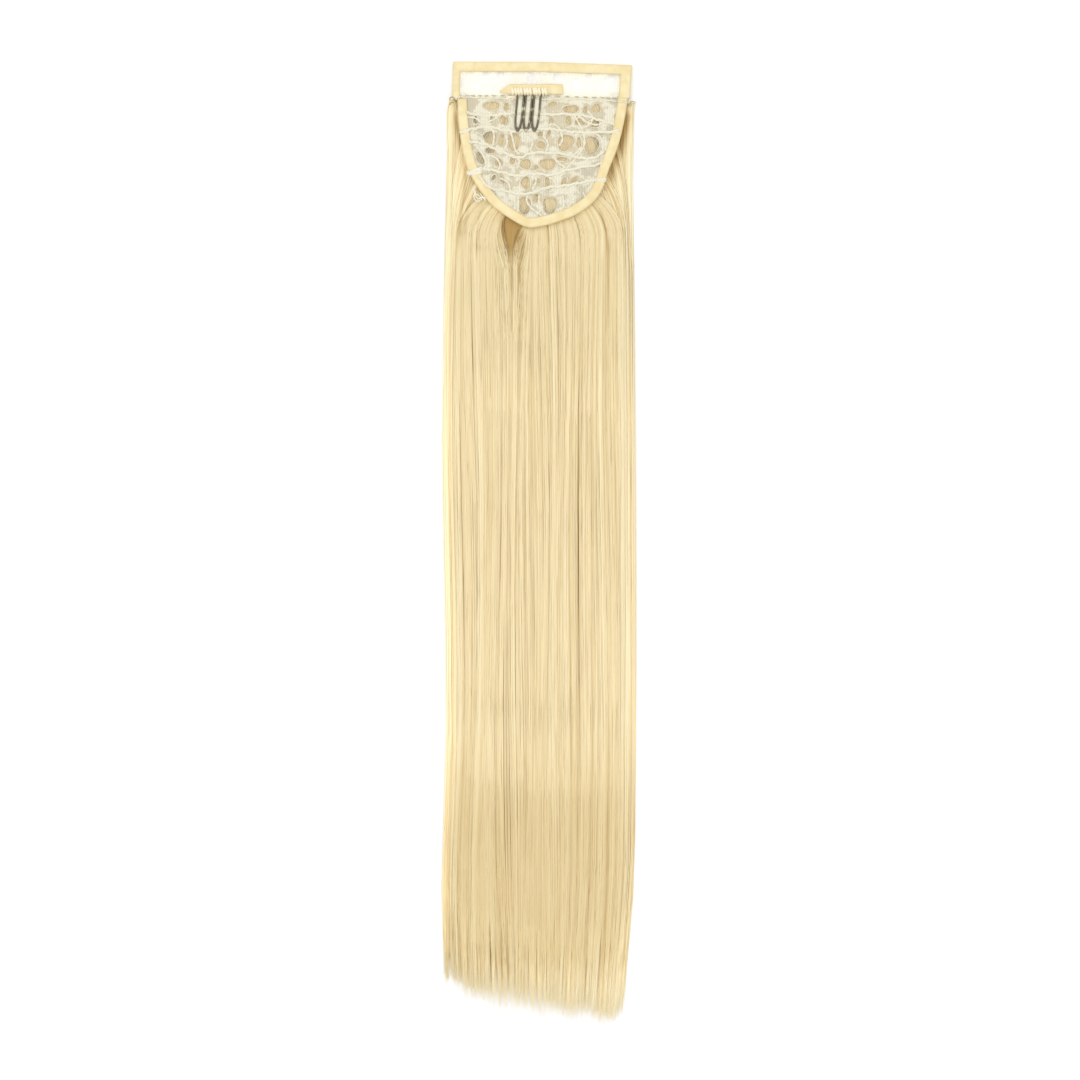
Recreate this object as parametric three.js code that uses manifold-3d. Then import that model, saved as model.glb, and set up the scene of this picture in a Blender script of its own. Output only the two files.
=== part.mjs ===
// A ponytail hairpiece lying on its outer side: six sewn wefts of straight hair, a pierced lace base with
// a flap above it, both bound in folded ribbon, and a three-tooth wire comb under a short ribbon.
// Millimetres. X is across, +Y runs from the hair's tips to the flap, Z is up from the surface it lies on.
// The seam between base and flap is y = 0 while the pieces are made. The group then moves to its origin.

import * as THREE from "three";
import { mergeVertices } from "three/addons/utils/BufferGeometryUtils.js";
import Module from "manifold-3d";

const wasm = await Module();
wasm.setup();

// Hair
const hairLength = 578; // from the seam to the longest tip
const hairWidth = 118.4; // across the first weft's head
const curtainThickness = 1.9; // one weft's hair where it is fullest
const weftHeadHeight = 4; // sewn band at the top of each weft, along Y
const weftHeadSlope = 1.4; // from the band down to the loose hair
const fanLength = 25; // in which the hair of a weft spreads to the full width
const lowerReach = 12; // hair that stays as flat as under the base, below the base's edge
const tipSlant = 25; // the left corner's tips end this much before the right's
const tipStep = 8; // each weft's tips end this much before those of the weft under it
const tipScatter = 13; // locks end at most this much early
const tipNotch = 26; // partings end this much before the locks beside them
const tipRows = 2; // rows of points from the last shared section to a lock's end
const sideThinning = 0.5; // share of a curtain's thickness lost at its sides
const plainParting = 0.35; // depth of the partings in the lower wefts, as a share of their thickness
const crestShares = [0.3, 0.7]; // where a lock of the uppermost weft is full, between its partings
const fanShares = [0.45, 0.75]; // rows of points within the spread
const upperInset = 7; // the uppermost weft's hair is this much narrower on each side

// Lace base, flap and binding
const baseWidth = 107.7; // over the binding, at the seam
const baseDepth = 82; // from the seam to the lowest point of the curved edge
const baseShift = 1.6; // the base sits this far to the right of the hair's middle
const flapWidth = 113; // over the binding, at the flap's outer edge
const flapLeftHeight = 23.3;
const flapRightHeight = 21.1;
const flapBow = 0.9; // the flap's outer edge rises this much at its middle
const netThickness = 1;
const tapeThickness = 1; // one leaf of the folded ribbon
const baseTapeWidth = 6;
const flapLeftTapeWidth = 4.6;
const flapTopTapeWidth = 6.3;
const flapRightTapeWidth = 6.9;
const clearance = 0.3; // between neighbouring pieces
const baseSlack = 0.6; // the base's low end lies this much higher above the hair
const riseLength = 62; // from the seam to where the base lies level
const riseCurve = 1.6; // how soon the base flattens out
const risingSteps = 12; // strips of the lace between the seam and its level end
const edgeSteps = 34; // stretches of the base's curved edge

// Comb and its ribbon
const wireDiameter = 1.2;
const wireSides = 6;
const toothLength = 24;
const toothWidth = 4; // between the middles of a tooth's two legs
const toothSpacing = 5.3;
const toothTipWidth = 2.2;
const toothLean = -2.2; // a tooth's tip lies this far to the side of its top
const combMiddle = -6.6; // middle of the comb's top, from the hair's middle
const barHeight = 4.2; // the comb's bar above the seam
const barOverhang = 3.4; // the bar's curled end past the last tooth
const barCurl = 2.4;
const ribbonLength = 39.7;
const ribbonWidth = 6.2;
const ribbonLeftOverhang = 8.6; // past the first tooth
const ribbonRamp = 4; // in which the ribbon comes down beside the bar
const ribbonPoint = 2.4; // length of the ribbon's pointed left end
const ribbonPointWidth = 2.2;
const toothSteps = 20;
const barSteps = 12;

// The base's curved edge from the right end of the seam round to the left end,
// as shares of the base's width from its middle and of its depth.
const baseEdge = [
  { across: 0.5, down: 0 },
  { across: 0.471, down: 0.223 },
  { across: 0.436, down: 0.392 },
  { across: 0.386, down: 0.56 },
  { across: 0.348, down: 0.708 },
  { across: 0.289, down: 0.815 },
  { across: 0.193, down: 0.904 },
  { across: 0.096, down: 0.954 },
  { across: 0.016, down: 0.985 },
  { across: -0.085, down: 1 },
  { across: -0.184, down: 0.938 },
  { across: -0.307, down: 0.815 },
  { across: -0.406, down: 0.631 },
  { across: -0.459, down: 0.454 },
  { across: -0.488, down: 0.223 },
  { across: -0.5, down: 0 },
];

// Sections of the hair. Place is -1 at the seam, 0 where the hair leaves the base and 1 at the longest tip.
// Thick is a share of the curtain's thickness. Left and right are shares of half the hair's width.
const sections = [
  { place: -1, thick: 0.58, left: 0.968, right: 1.032 },
  { place: -0.93, thick: 0.58, left: 0.989, right: 0.968 },
  { place: -0.32, thick: 0.58, left: 0.989, right: 0.915 },
  { place: 0, thick: 0.58, left: 0.989, right: 0.96 },
  { place: 0.08, thick: 0.8, left: 0.989, right: 0.979 },
  { place: 0.19, thick: 1, left: 0.989, right: 0.979 },
  { place: 0.4, thick: 0.95, left: 0.989, right: 0.989 },
  { place: 0.62, thick: 0.8, left: 0.994, right: 1 },
  { place: 0.82, thick: 0.62, left: 1.035, right: 0.989 },
  { place: 1, thick: 0.42, left: 1, right: 0.88 },
];
const tipsFrom = 0.82; // place below which each lock has its own end

// The wefts from the outermost one up. Down and dip are shares of the base's depth: where the sewn head's
// ends lie, and how much lower its middle is. Slant is how much lower its right end is than its middle.
const wefts = [
  { down: 0, dip: 0, slant: 0.015, locks: 11 },
  { down: 0.115, dip: 0, slant: 0.03, locks: 7 },
  { down: 0.245, dip: 0, slant: 0, locks: 7 },
  { down: 0.38, dip: 0.055, slant: 0.03, locks: 7 },
  { down: 0.52, dip: 0.06, slant: -0.03, locks: 7 },
  { down: 0.65, dip: 0.085, slant: 0, locks: 0 },
];

// Partings in the uppermost weft, as shares of half its width, with how deep each one is cut.
const partings = [
  { across: -1, deep: 0.3 },
  { across: -0.79, deep: 0.35 },
  { across: -0.6, deep: 0.5 },
  { across: -0.29, deep: 0.6 },
  { across: -0.06, deep: 0.4 },
  { across: 0.13, deep: 0.45 },
  { across: 0.45, deep: 0.6 },
  { across: 0.62, deep: 0.35 },
  { across: 0.82, deep: 0.5 },
  { across: 1, deep: 0.3 },
];

// Openings in the lace. Across and wide are shares of the base's width, from its middle.
// Down and tall are shares of its depth. Lean is how far an opening's top leans to the right.
const laceOpenings = [
  { across: -0.298, down: 0.058, wide: 0.094, tall: 0.069, lean: 0 },
  { across: -0.211, down: 0.065, wide: 0.035, tall: 0.062, lean: 0 },
  { across: 0.06, down: 0.045, wide: 0.047, tall: 0.038, lean: 0 },
  { across: 0.167, down: 0.085, wide: 0.1, tall: 0.062, lean: 0 },
  { across: 0.25, down: 0.09, wide: 0.023, tall: 0.054, lean: 0.3 },
  { across: 0.314, down: 0.078, wide: 0.053, tall: 0.069, lean: 0 },
  { across: -0.392, down: 0.17, wide: 0.029, tall: 0.062, lean: 0 },
  { across: -0.297, down: 0.166, wide: 0.021, tall: 0.062, lean: 0 },
  { across: -0.226, down: 0.168, wide: 0.053, tall: 0.077, lean: 0 },
  { across: 0.05, down: 0.177, wide: 0.029, tall: 0.046, lean: 0 },
  { across: 0.151, down: 0.175, wide: 0.035, tall: 0.069, lean: 0 },
  { across: 0.22, down: 0.185, wide: 0.059, tall: 0.06, lean: 0 },
  { across: 0.302, down: 0.197, wide: 0.065, tall: 0.06, lean: 0 },
  { across: -0.305, down: 0.308, wide: 0.076, tall: 0.1, lean: -0.2 },
  { across: -0.241, down: 0.331, wide: 0.029, tall: 0.092, lean: 0.2 },
  { across: -0.167, down: 0.338, wide: 0.07, tall: 0.146, lean: 0 },
  { across: -0.009, down: 0.281, wide: 0.041, tall: 0.038, lean: 0 },
  { across: 0.035, down: 0.277, wide: 0.026, tall: 0.05, lean: 0.3 },
  { across: -0.009, down: 0.365, wide: 0.053, tall: 0.062, lean: 0 },
  { across: 0.135, down: 0.346, wide: 0.094, tall: 0.123, lean: 0.2 },
  { across: 0.212, down: 0.35, wide: 0.027, tall: 0.092, lean: 0 },
  { across: 0.285, down: 0.365, wide: 0.088, tall: 0.138, lean: 0 },
  { across: -0.304, down: 0.405, wide: 0.058, tall: 0.045, lean: 0 },
  { across: -0.365, down: 0.47, wide: 0.041, tall: 0.09, lean: -0.3 },
  { across: -0.256, down: 0.5, wide: 0.045, tall: 0.055, lean: 0 },
  { across: -0.175, down: 0.485, wide: 0.03, tall: 0.07, lean: 0 },
  { across: -0.099, down: 0.515, wide: 0.07, tall: 0.077, lean: 0 },
  { across: -0.04, down: 0.54, wide: 0.029, tall: 0.038, lean: 0 },
  { across: 0.03, down: 0.514, wide: 0.094, tall: 0.085, lean: 0 },
  { across: 0.115, down: 0.474, wide: 0.064, tall: 0.031, lean: 0 },
  { across: -0.285, down: 0.62, wide: 0.023, tall: 0.046, lean: 0.3 },
  { across: -0.233, down: 0.638, wide: 0.029, tall: 0.054, lean: -0.3 },
  { across: -0.099, down: 0.658, wide: 0.058, tall: 0.092, lean: 0 },
  { across: -0.035, down: 0.65, wide: 0.038, tall: 0.046, lean: 0.4 },
  { across: 0.028, down: 0.65, wide: 0.029, tall: 0.07, lean: 0 },
  { across: 0.125, down: 0.65, wide: 0.029, tall: 0.062, lean: 0.4 },
  { across: 0.186, down: 0.635, wide: 0.035, tall: 0.046, lean: 0.5 },
  { across: -0.106, down: 0.83, wide: 0.076, tall: 0.131, lean: 0 },
  { across: -0.036, down: 0.78, wide: 0.038, tall: 0.069, lean: 0 },
  { across: 0.042, down: 0.83, wide: 0.082, tall: 0.123, lean: 0 },
  { across: -0.385, down: -0.085, wide: 0.055, tall: 0.06, lean: 0 },
  { across: -0.335, down: -0.19, wide: 0.03, tall: 0.05, lean: 0 },
  { across: -0.248, down: -0.185, wide: 0.04, tall: 0.055, lean: 0 },
  { across: -0.28, down: -0.08, wide: 0.035, tall: 0.05, lean: 0 },
  { across: -0.068, down: -0.165, wide: 0.045, tall: 0.06, lean: 0 },
  { across: 0.08, down: -0.165, wide: 0.035, tall: 0.045, lean: 0 },
  { across: 0.19, down: -0.12, wide: 0.045, tall: 0.07, lean: 0 },
  { across: 0.27, down: -0.18, wide: 0.03, tall: 0.05, lean: 0 },
  { across: 0.325, down: -0.08, wide: 0.04, tall: 0.06, lean: 0 },
  { across: 0.395, down: -0.14, wide: 0.06, tall: 0.08, lean: 0 },
];
const smallOpening = 4.5; // openings narrower than this have six sides, the others eight

const halfHair = hairWidth / 2;
const freeStart = baseDepth + lowerReach;
const headThickness = curtainThickness * sections[0].thick;
const wireRadius = wireDiameter / 2;
const netInset = tapeThickness + clearance;

const clamp01 = (value) => THREE.MathUtils.clamp(value, 0, 1);
const ease = (value) => THREE.MathUtils.smoothstep(value, 0, 1);

/** Repeatable scatter from 0 to 1 for a whole number. */
const scatter = (seed) => {
  const wave = Math.sin(seed * 12.9898) * 43758.5453;
  return wave - Math.floor(wave);
};

// Heights

const seamRise = headThickness + clearance;
const levelRise = wefts.length * (headThickness + clearance) + baseSlack;

/** Height of the binding's underside: on the surface at the flap's outer edge, on the wefts elsewhere. */
function tapeUnderside(y) {
  if (y > 0) {
    return Math.max(0, seamRise * (1 - y / (flapLeftHeight + flapBow)));
  }
  const left = 1 - clamp01(-y / riseLength);
  return seamRise + (levelRise - seamRise) * (1 - left ** riseCurve);
}

const netBottom = (y) => tapeUnderside(y) + tapeThickness + clearance;
const netTop = (y) => netBottom(y) + netThickness;

// Hair sections

/** Distance below the seam of a place in the table of sections. */
const placeDepth = (place) =>
  place <= 0 ? (1 + place) * freeStart : freeStart + place * (hairLength - freeStart);

/** One column of the table of sections at a distance below the seam, straight between its rows. */
function sectionValue(column, depth) {
  const last = sections.length - 2;
  const found = sections.findIndex((row, at) => at > 0 && depth <= placeDepth(row.place)) - 1;
  const from = found < 0 ? last : found;
  const start = placeDepth(sections[from].place);
  const end = placeDepth(sections[from + 1].place);
  const share = clamp01((depth - start) / (end - start));
  return THREE.MathUtils.lerp(sections[from][column], sections[from + 1][column], share);
}

/** Thickness of one weft's hair at a share of the half width, thinner towards the sides. */
const curtainAt = (share, depth) =>
  curtainThickness * sectionValue("thick", depth) * (1 - sideThinning * Math.min(1, Math.abs(share)) ** 4);

// Outline of the base and flap

/** Sum of two edges' offsets at their shared corner, for edges with unit normals a and b. */
function mitre(a, b, widthA, widthB) {
  const dot = a.dot(b);
  if (widthA === widthB) {
    return a.clone().add(b).multiplyScalar(widthA / (1 + dot));
  }
  const alongA = (widthA - dot * widthB) / (1 - dot * dot);
  const alongB = (widthB - dot * widthA) / (1 - dot * dot);
  return a.clone().multiplyScalar(alongA).addScaledVector(b, alongB);
}

/** An open path moved to its right-hand side, each edge by its own width, with mitred corners. */
function offsetPath(points, widths) {
  const normals = points.slice(1).map((point, at) => {
    const along = point.clone().sub(points[at]).normalize();
    return new THREE.Vector2(along.y, -along.x);
  });
  const edges = normals.length;
  return points.map((point, at) => {
    const before = Math.max(0, at - 1);
    const after = Math.min(edges - 1, at);
    return point.clone().add(mitre(normals[before], normals[after], widths[before], widths[after]));
  });
}

const baseCurve = new THREE.CatmullRomCurve3(
  baseEdge.map((row) => new THREE.Vector3(baseShift + row.across * baseWidth, -row.down * baseDepth, 0)),
);
const basePath = baseCurve.getSpacedPoints(edgeSteps).map((point) => new THREE.Vector2(point.x, point.y));
const flapTopMiddle = (flapLeftHeight + flapRightHeight) / 2 + flapBow;
const flapPath = [
  new THREE.Vector2(baseShift - baseWidth / 2, 0),
  new THREE.Vector2(baseShift - flapWidth / 2, flapLeftHeight),
  new THREE.Vector2(baseShift, flapTopMiddle),
  new THREE.Vector2(baseShift + flapWidth / 2, flapRightHeight),
  new THREE.Vector2(baseShift + baseWidth / 2, 0),
];
const flapTapeWidths = [flapLeftTapeWidth, flapTopTapeWidth, flapTopTapeWidth, flapRightTapeWidth];
const same = (path, width) => path.slice(1).map(() => width);

/** Ends of the stretch inside a closed outline at a height y, as its lowest and highest x. */
function spanAt(outline, y) {
  const crossings = outline.flatMap((point, at) => {
    const next = outline[(at + 1) % outline.length];
    const crosses = (point.y - y) * (next.y - y) < 0;
    return crosses ? [THREE.MathUtils.lerp(point.x, next.x, (y - point.y) / (next.y - point.y))] : [];
  });
  return { left: Math.min(...crossings), right: Math.max(...crossings) };
}

// Making solids

/** Closed solid between an upper and a lower grid of points, walled round its border.
 *  Columns run towards +X and rows towards -Y. */
function gridSolid(columns, rows, upper, lower) {
  const positions = [];
  const index = [];
  const layer = (columns + 1) * (rows + 1);
  const up = (i, j) => j * (columns + 1) + i;
  const low = (i, j) => layer + up(i, j);
  const quad = (a, b, c, d) => index.push(a, b, c, a, c, d);
  for (const surface of [upper, lower]) {
    for (let j = 0; j <= rows; j += 1) {
      for (let i = 0; i <= columns; i += 1) {
        positions.push(...surface(i, j));
      }
    }
  }
  for (let j = 0; j < rows; j += 1) {
    for (let i = 0; i < columns; i += 1) {
      quad(up(i, j), up(i, j + 1), up(i + 1, j + 1), up(i + 1, j));
      quad(low(i, j), low(i + 1, j), low(i + 1, j + 1), low(i, j + 1));
    }
    quad(low(0, j), low(0, j + 1), up(0, j + 1), up(0, j));
    quad(up(columns, j), up(columns, j + 1), low(columns, j + 1), low(columns, j));
  }
  for (let i = 0; i < columns; i += 1) {
    quad(up(i, 0), up(i + 1, 0), low(i + 1, 0), low(i, 0));
    quad(up(i, rows), low(i, rows), low(i + 1, rows), up(i + 1, rows));
  }
  const geometry = new THREE.BufferGeometry();
  geometry.setAttribute("position", new THREE.Float32BufferAttribute(positions, 3));
  geometry.setIndex(index);
  return geometry;
}

/** A closed geometry as a solid that can be cut and joined. */
function solidOf(geometry) {
  const bare = geometry.clone();
  bare.deleteAttribute("normal");
  bare.deleteAttribute("uv");
  const merged = mergeVertices(bare, 1e-4);
  const vertProperties = new Float32Array(merged.attributes.position.array);
  const triVerts = new Uint32Array(merged.index.array);
  return new wasm.Manifold(new wasm.Mesh({ numProp: 3, vertProperties, triVerts }));
}

/** A cut or joined solid as a geometry. */
function geometryOf(solid) {
  const { vertProperties, triVerts } = solid.getMesh();
  const geometry = new THREE.BufferGeometry();
  geometry.setAttribute("position", new THREE.BufferAttribute(new Float32Array(vertProperties), 3));
  geometry.setIndex(Array.from(triVerts));
  return geometry;
}

/** Upright prism on a closed outline, from low to high. */
function prism(outline, low, high) {
  const options = { depth: high - low, bevelEnabled: false };
  return new THREE.ExtrudeGeometry(new THREE.Shape(outline), options).translate(0, 0, low);
}

/** Round wire along a curve. */
function wire(curve, steps) {
  const section = new THREE.Shape();
  section.absarc(0, 0, wireRadius, 0, Math.PI * 2, false);
  const options = { steps, curveSegments: wireSides / 2, extrudePath: curve, bevelEnabled: false };
  return new THREE.ExtrudeGeometry(section, options);
}

// Wefts

/** Shares of the half width at which a weft's columns lie, and how deep each is cut as a parting. */
function lockColumns(weft) {
  if (weft.locks > 0) {
    return Array.from({ length: weft.locks * 2 + 1 }, (_, at) => ({
      across: at / weft.locks - 1,
      deep: at % 2 === 0 ? plainParting : 0,
    }));
  }
  return partings.flatMap((parting, at) => {
    const next = partings[at + 1];
    const crest = (share) => ({ across: THREE.MathUtils.lerp(parting.across, next.across, share), deep: 0 });
    return next ? [parting, ...crestShares.map(crest)] : [parting];
  });
}

/** One sewn weft: a raised head under the net, hair that fans out from it and locks with pointed ends. */
function makeWeft(number) {
  const weft = wefts[number];
  const columns = lockColumns(weft);
  const outermost = number === 0;
  const narrowing = (upperInset * number) / (wefts.length - 1) / halfHair;
  const innerEdge = offsetPath(basePath, same(basePath, baseTapeWidth + clearance));

  const headDepth = (share) =>
    baseDepth * (weft.down + weft.dip * (1 - share * share) + weft.slant * share);
  const headEnd = Math.max(headDepth(-1), headDepth(1)) + weftHeadHeight + weftHeadSlope;
  const headSpan = spanAt(innerEdge, -headEnd);

  const bodyX = (share, depth) => {
    const side = sectionValue(share < 0 ? "left" : "right", depth);
    return share * halfHair * (side - narrowing);
  };
  const placeX = (share, depth) => {
    const body = bodyX(share, depth);
    if (outermost) {
      return body;
    }
    const head = THREE.MathUtils.lerp(headSpan.left, headSpan.right, (share + 1) / 2);
    const fanned = ease((depth - headDepth(share) - weftHeadHeight) / fanLength);
    return THREE.MathUtils.lerp(head, body, fanned);
  };
  const tipDepth = (column, at) => {
    const slant = tipSlant * ((1 - column.across) / 2) ** 1.5;
    const early = tipScatter * scatter(at * 7 + number * 31) + (column.deep > 0 ? tipNotch : 0);
    return hairLength - slant - tipStep * number - early;
  };

  // Rows of points: the head, the fan, the shared sections and the tips.
  const body = sections.filter((row) => row.place >= 0 && row.place <= tipsFrom);
  const bodyPlaces = body.map((row) => placeDepth(row.place));
  const fanRows = fanShares.map((share) => share * fanLength);
  const headRows = [0, weftHeadHeight, weftHeadHeight + weftHeadSlope, ...fanRows];
  const rowDepth = (column, at, j) => {
    if (j < headRows.length) {
      return headDepth(column.across) + headRows[j];
    }
    const below = j - headRows.length;
    if (below < bodyPlaces.length) {
      return bodyPlaces[below];
    }
    const share = (below - bodyPlaces.length + 1) / tipRows;
    return THREE.MathUtils.lerp(bodyPlaces.at(-1), tipDepth(column, at), share);
  };
  const rows = headRows.length + bodyPlaces.length + tipRows - 1;

  const insideHead = (at) => {
    const span = spanAt(innerEdge, -headEnd);
    return [at - 1, at + 1].every((near) => {
      const x = near < 0 || near >= columns.length ? Infinity : placeX(columns[near].across, headEnd);
      return outermost ? x > span.left && x < span.right : Number.isFinite(x);
    });
  };
  const raised = columns.map((_, at) => insideHead(at));

  const stackShare = (x, depth) => x / (halfHair * sectionValue(x < 0 ? "left" : "right", depth));
  const floorAt = (x, depth) => number * (curtainAt(stackShare(x, depth), depth) + clearance);
  const point = (i, j, top) => {
    const depth = rowDepth(columns[i], i, j);
    const x = placeX(columns[i].across, depth);
    const floor = floorAt(x, depth);
    if (!top) {
      return [x, -depth, floor];
    }
    if (raised[i] && j < 2) {
      return [x, -depth, tapeUnderside(-depth) + tapeThickness];
    }
    const cut = j < 3 ? 0 : columns[i].deep;
    return [x, -depth, floor + curtainAt(stackShare(x, depth), depth) * (1 - cut)];
  };
  return gridSolid(
    columns.length - 1,
    rows,
    (i, j) => point(i, j, true),
    (i, j) => point(i, j, false),
  );
}

// Lace and binding

/** The sheet of lace: a level strip for each step of its rise, cut to its outline and then pierced. */
function makeNet() {
  const border = [
    ...offsetPath(flapPath, same(flapPath, netInset)),
    ...offsetPath(basePath, same(basePath, netInset)).slice(1, -1),
  ];
  const reach = flapWidth;
  const stations = [flapLeftHeight + flapBow, 0];
  for (let step = 1; step <= risingSteps; step += 1) {
    stations.push((-riseLength * step) / risingSteps);
  }
  stations.push(-Math.max(baseDepth, riseLength) - netInset);
  const side = (height) => (i, j) => [(i - 0.5) * 2 * reach, stations[j], height(stations[j])];
  const sheet = solidOf(gridSolid(1, stations.length - 1, side(netTop), side(netBottom)));
  const high = netTop(-baseDepth) + clearance;
  const cutters = laceOpenings.map((opening) => {
    const wide = opening.wide * baseWidth;
    const tall = opening.tall * baseDepth;
    const sides = Math.min(wide, tall) < smallOpening ? 6 : 8;
    const outline = Array.from({ length: sides }, (_, at) => {
      const turn = ((at + 0.5) / sides) * Math.PI * 2;
      const up = Math.sin(turn) / 2;
      const across = Math.cos(turn) / 2 + opening.lean * up;
      return new THREE.Vector2(
        baseShift + opening.across * baseWidth + across * wide,
        -opening.down * baseDepth + up * tall,
      );
    });
    return solidOf(prism(outline, 0, high));
  });
  const trimmed = sheet.intersect(solidOf(prism(border, 0, high)));
  return geometryOf(cutters.reduce((net, cutter) => net.subtract(cutter), trimmed));
}

/** Ribbon folded over the net's edge: an upper and a lower leaf joined at the back, carried along a path. */
function foldedTape(path, widths) {
  const outer = path.map((point) => point.clone());
  const back = offsetPath(path, same(path, tapeThickness));
  const inner = offsetPath(path, widths);
  for (const line of [outer, back, inner]) {
    const ends = [
      [line[0], line[1]],
      [line[line.length - 1], line[line.length - 2]],
    ];
    for (const [end, next] of ends) {
      end.lerp(next, clearance / 2 / end.distanceTo(next));
    }
  }
  const upperLeaf = 2 * clearance + netThickness + tapeThickness;
  const corners = [
    [outer, 0],
    [inner, 0],
    [inner, tapeThickness],
    [back, tapeThickness],
    [back, upperLeaf],
    [inner, upperLeaf],
    [inner, upperLeaf + tapeThickness],
    [outer, upperLeaf + tapeThickness],
  ];
  const positions = path.flatMap((_, at) =>
    corners.flatMap(([line, height]) => [line[at].x, line[at].y, tapeUnderside(line[at].y) + height]),
  );
  const index = [];
  const quad = (a, b, c, d) => index.push(a, b, c, a, c, d);
  const size = corners.length;
  for (let at = 0; at < path.length - 1; at += 1) {
    for (let corner = 0; corner < size; corner += 1) {
      const next = (corner + 1) % size;
      const near = at * size;
      quad(near + size + corner, near + size + next, near + next, near + corner);
    }
  }
  const caps = [
    [0, 1, 2, 3],
    [0, 3, 4, 7],
    [7, 4, 5, 6],
  ];
  const end = (path.length - 1) * size;
  for (const [a, b, c, d] of caps) {
    quad(a, b, c, d);
    quad(end + d, end + c, end + b, end + a);
  }
  const geometry = new THREE.BufferGeometry();
  geometry.setAttribute("position", new THREE.Float32BufferAttribute(positions, 3));
  geometry.setIndex(index);
  return geometry;
}

// Comb

const wireHeight = (y) => netTop(y) + clearance + wireRadius;
const firstTooth = combMiddle - toothSpacing;
const lastTooth = combMiddle + toothSpacing;

/** A curve through points of the comb's plan that rides above the lace. */
function combCurve(plan) {
  const points = plan.map(([x, y]) => new THREE.Vector3(x, y, wireHeight(y)));
  return new THREE.CatmullRomCurve3(points, false, "centripetal");
}

/** Three narrow teeth of doubled wire with round tips, hung from a bar whose free end curls down. */
function makeComb() {
  const leg = toothWidth / 2;
  const tip = toothTipWidth / 2;
  const teeth = [-1, 0, 1].map((number) => {
    const top = combMiddle + number * toothSpacing;
    const down = (share, side) => [top + toothLean * share + side, barHeight - toothLength * share];
    const plan = [
      down(0, -leg),
      down(0.3, -leg),
      down(0.65, -leg),
      down(0.93, -tip),
      down(1, 0),
      down(0.93, tip),
      down(0.65, leg),
      down(0.3, leg),
      down(0, leg),
    ];
    return solidOf(wire(combCurve(plan), toothSteps));
  });
  const right = lastTooth + leg + barOverhang;
  const bar = solidOf(
    wire(
      combCurve([
        [firstTooth - leg - wireDiameter, barHeight],
        [lastTooth + leg, barHeight],
        [right - wireDiameter, barHeight],
        [right, barHeight - wireDiameter],
        [right, barHeight - barCurl],
      ]),
      barSteps,
    ),
  );
  return geometryOf(teeth.reduce((comb, tooth) => comb.add(tooth), bar));
}

/** Short ribbon over the comb's bar, humped where the wire is and pointed at its left end. */
function makeCombRibbon() {
  const left = firstTooth - toothWidth / 2 - ribbonLeftOverhang;
  const barLeft = firstTooth - toothWidth / 2 - wireDiameter;
  const barRight = lastTooth + toothWidth / 2 + barOverhang + wireRadius;
  const stops = [
    left,
    left + ribbonPoint,
    barLeft - ribbonRamp,
    barLeft - clearance,
    (barLeft + barRight) / 2,
    barRight + clearance,
    barRight + ribbonRamp,
    left + ribbonLength,
  ];
  const middle = barHeight + wireRadius / 2;
  const place = (i, j, lift) => {
    const x = stops[i];
    const half = (i === 0 ? ribbonPointWidth : ribbonWidth) / 2;
    const y = middle + half * (1 - j);
    const hump = i >= 3 && i <= 5 ? wireDiameter + clearance : 0;
    return [x, y, netTop(y) + clearance + hump + lift];
  };
  return gridSolid(
    stops.length - 1,
    2,
    (i, j) => place(i, j, tapeThickness),
    (i, j) => place(i, j, 0),
  );
}

// Materials and the assembly

const finish = (color, roughness, metalness = 0) =>
  new THREE.MeshStandardMaterial({ color, roughness, metalness });
const hairFinish = 0xebd8ac;
const tapeFinish = 0xf7e9b8;
const laceFinish = 0xe9e3c9;
const wireFinish = 0x8c8264;

const group = new THREE.Group();

/** Adds one named piece to the group. */
function addPiece(name, geometry, material) {
  const mesh = new THREE.Mesh(geometry, material);
  mesh.name = name;
  group.add(mesh);
}

for (let number = 0; number < wefts.length; number += 1) {
  addPiece(`hair_weft_${number + 1}`, makeWeft(number), finish(hairFinish, 0.5));
}
addPiece("lace_net", makeNet(), finish(laceFinish, 0.85));
addPiece("base_tape", foldedTape(basePath, same(basePath, baseTapeWidth)), finish(tapeFinish, 0.7));
addPiece("flap_tape", foldedTape(flapPath, flapTapeWidths), finish(tapeFinish, 0.7));
addPiece("comb", makeComb(), finish(wireFinish, 0.35, 0.9));
addPiece("comb_ribbon", makeCombRibbon(), finish(tapeFinish, 0.7));

// The origin is the middle of the whole hairpiece's box, on the surface that it lies on.
const box = new THREE.Box3().setFromObject(group);
const centre = box.getCenter(new THREE.Vector3());
group.position.set(-centre.x, -centre.y, -box.min.z);

export default group;
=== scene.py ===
"""A long straight ponytail hairpiece lying on its outer side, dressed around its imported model. Metres."""

import math

import bpy
import numpy as np
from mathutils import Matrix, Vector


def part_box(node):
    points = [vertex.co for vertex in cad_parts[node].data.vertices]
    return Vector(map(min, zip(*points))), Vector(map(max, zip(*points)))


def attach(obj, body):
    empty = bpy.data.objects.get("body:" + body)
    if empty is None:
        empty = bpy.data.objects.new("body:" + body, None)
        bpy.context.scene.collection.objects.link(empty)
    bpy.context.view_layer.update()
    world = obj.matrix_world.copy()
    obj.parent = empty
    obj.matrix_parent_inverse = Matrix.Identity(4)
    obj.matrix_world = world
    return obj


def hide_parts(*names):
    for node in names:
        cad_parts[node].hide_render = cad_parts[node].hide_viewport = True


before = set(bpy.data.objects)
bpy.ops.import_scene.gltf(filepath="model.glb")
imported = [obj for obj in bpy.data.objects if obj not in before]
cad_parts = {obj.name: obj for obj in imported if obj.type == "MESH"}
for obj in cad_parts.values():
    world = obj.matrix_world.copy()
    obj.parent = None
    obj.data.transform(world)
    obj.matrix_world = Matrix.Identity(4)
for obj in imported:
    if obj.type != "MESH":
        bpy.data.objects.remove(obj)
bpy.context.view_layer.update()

MM = 0.001
rng = np.random.default_rng(24)

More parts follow.
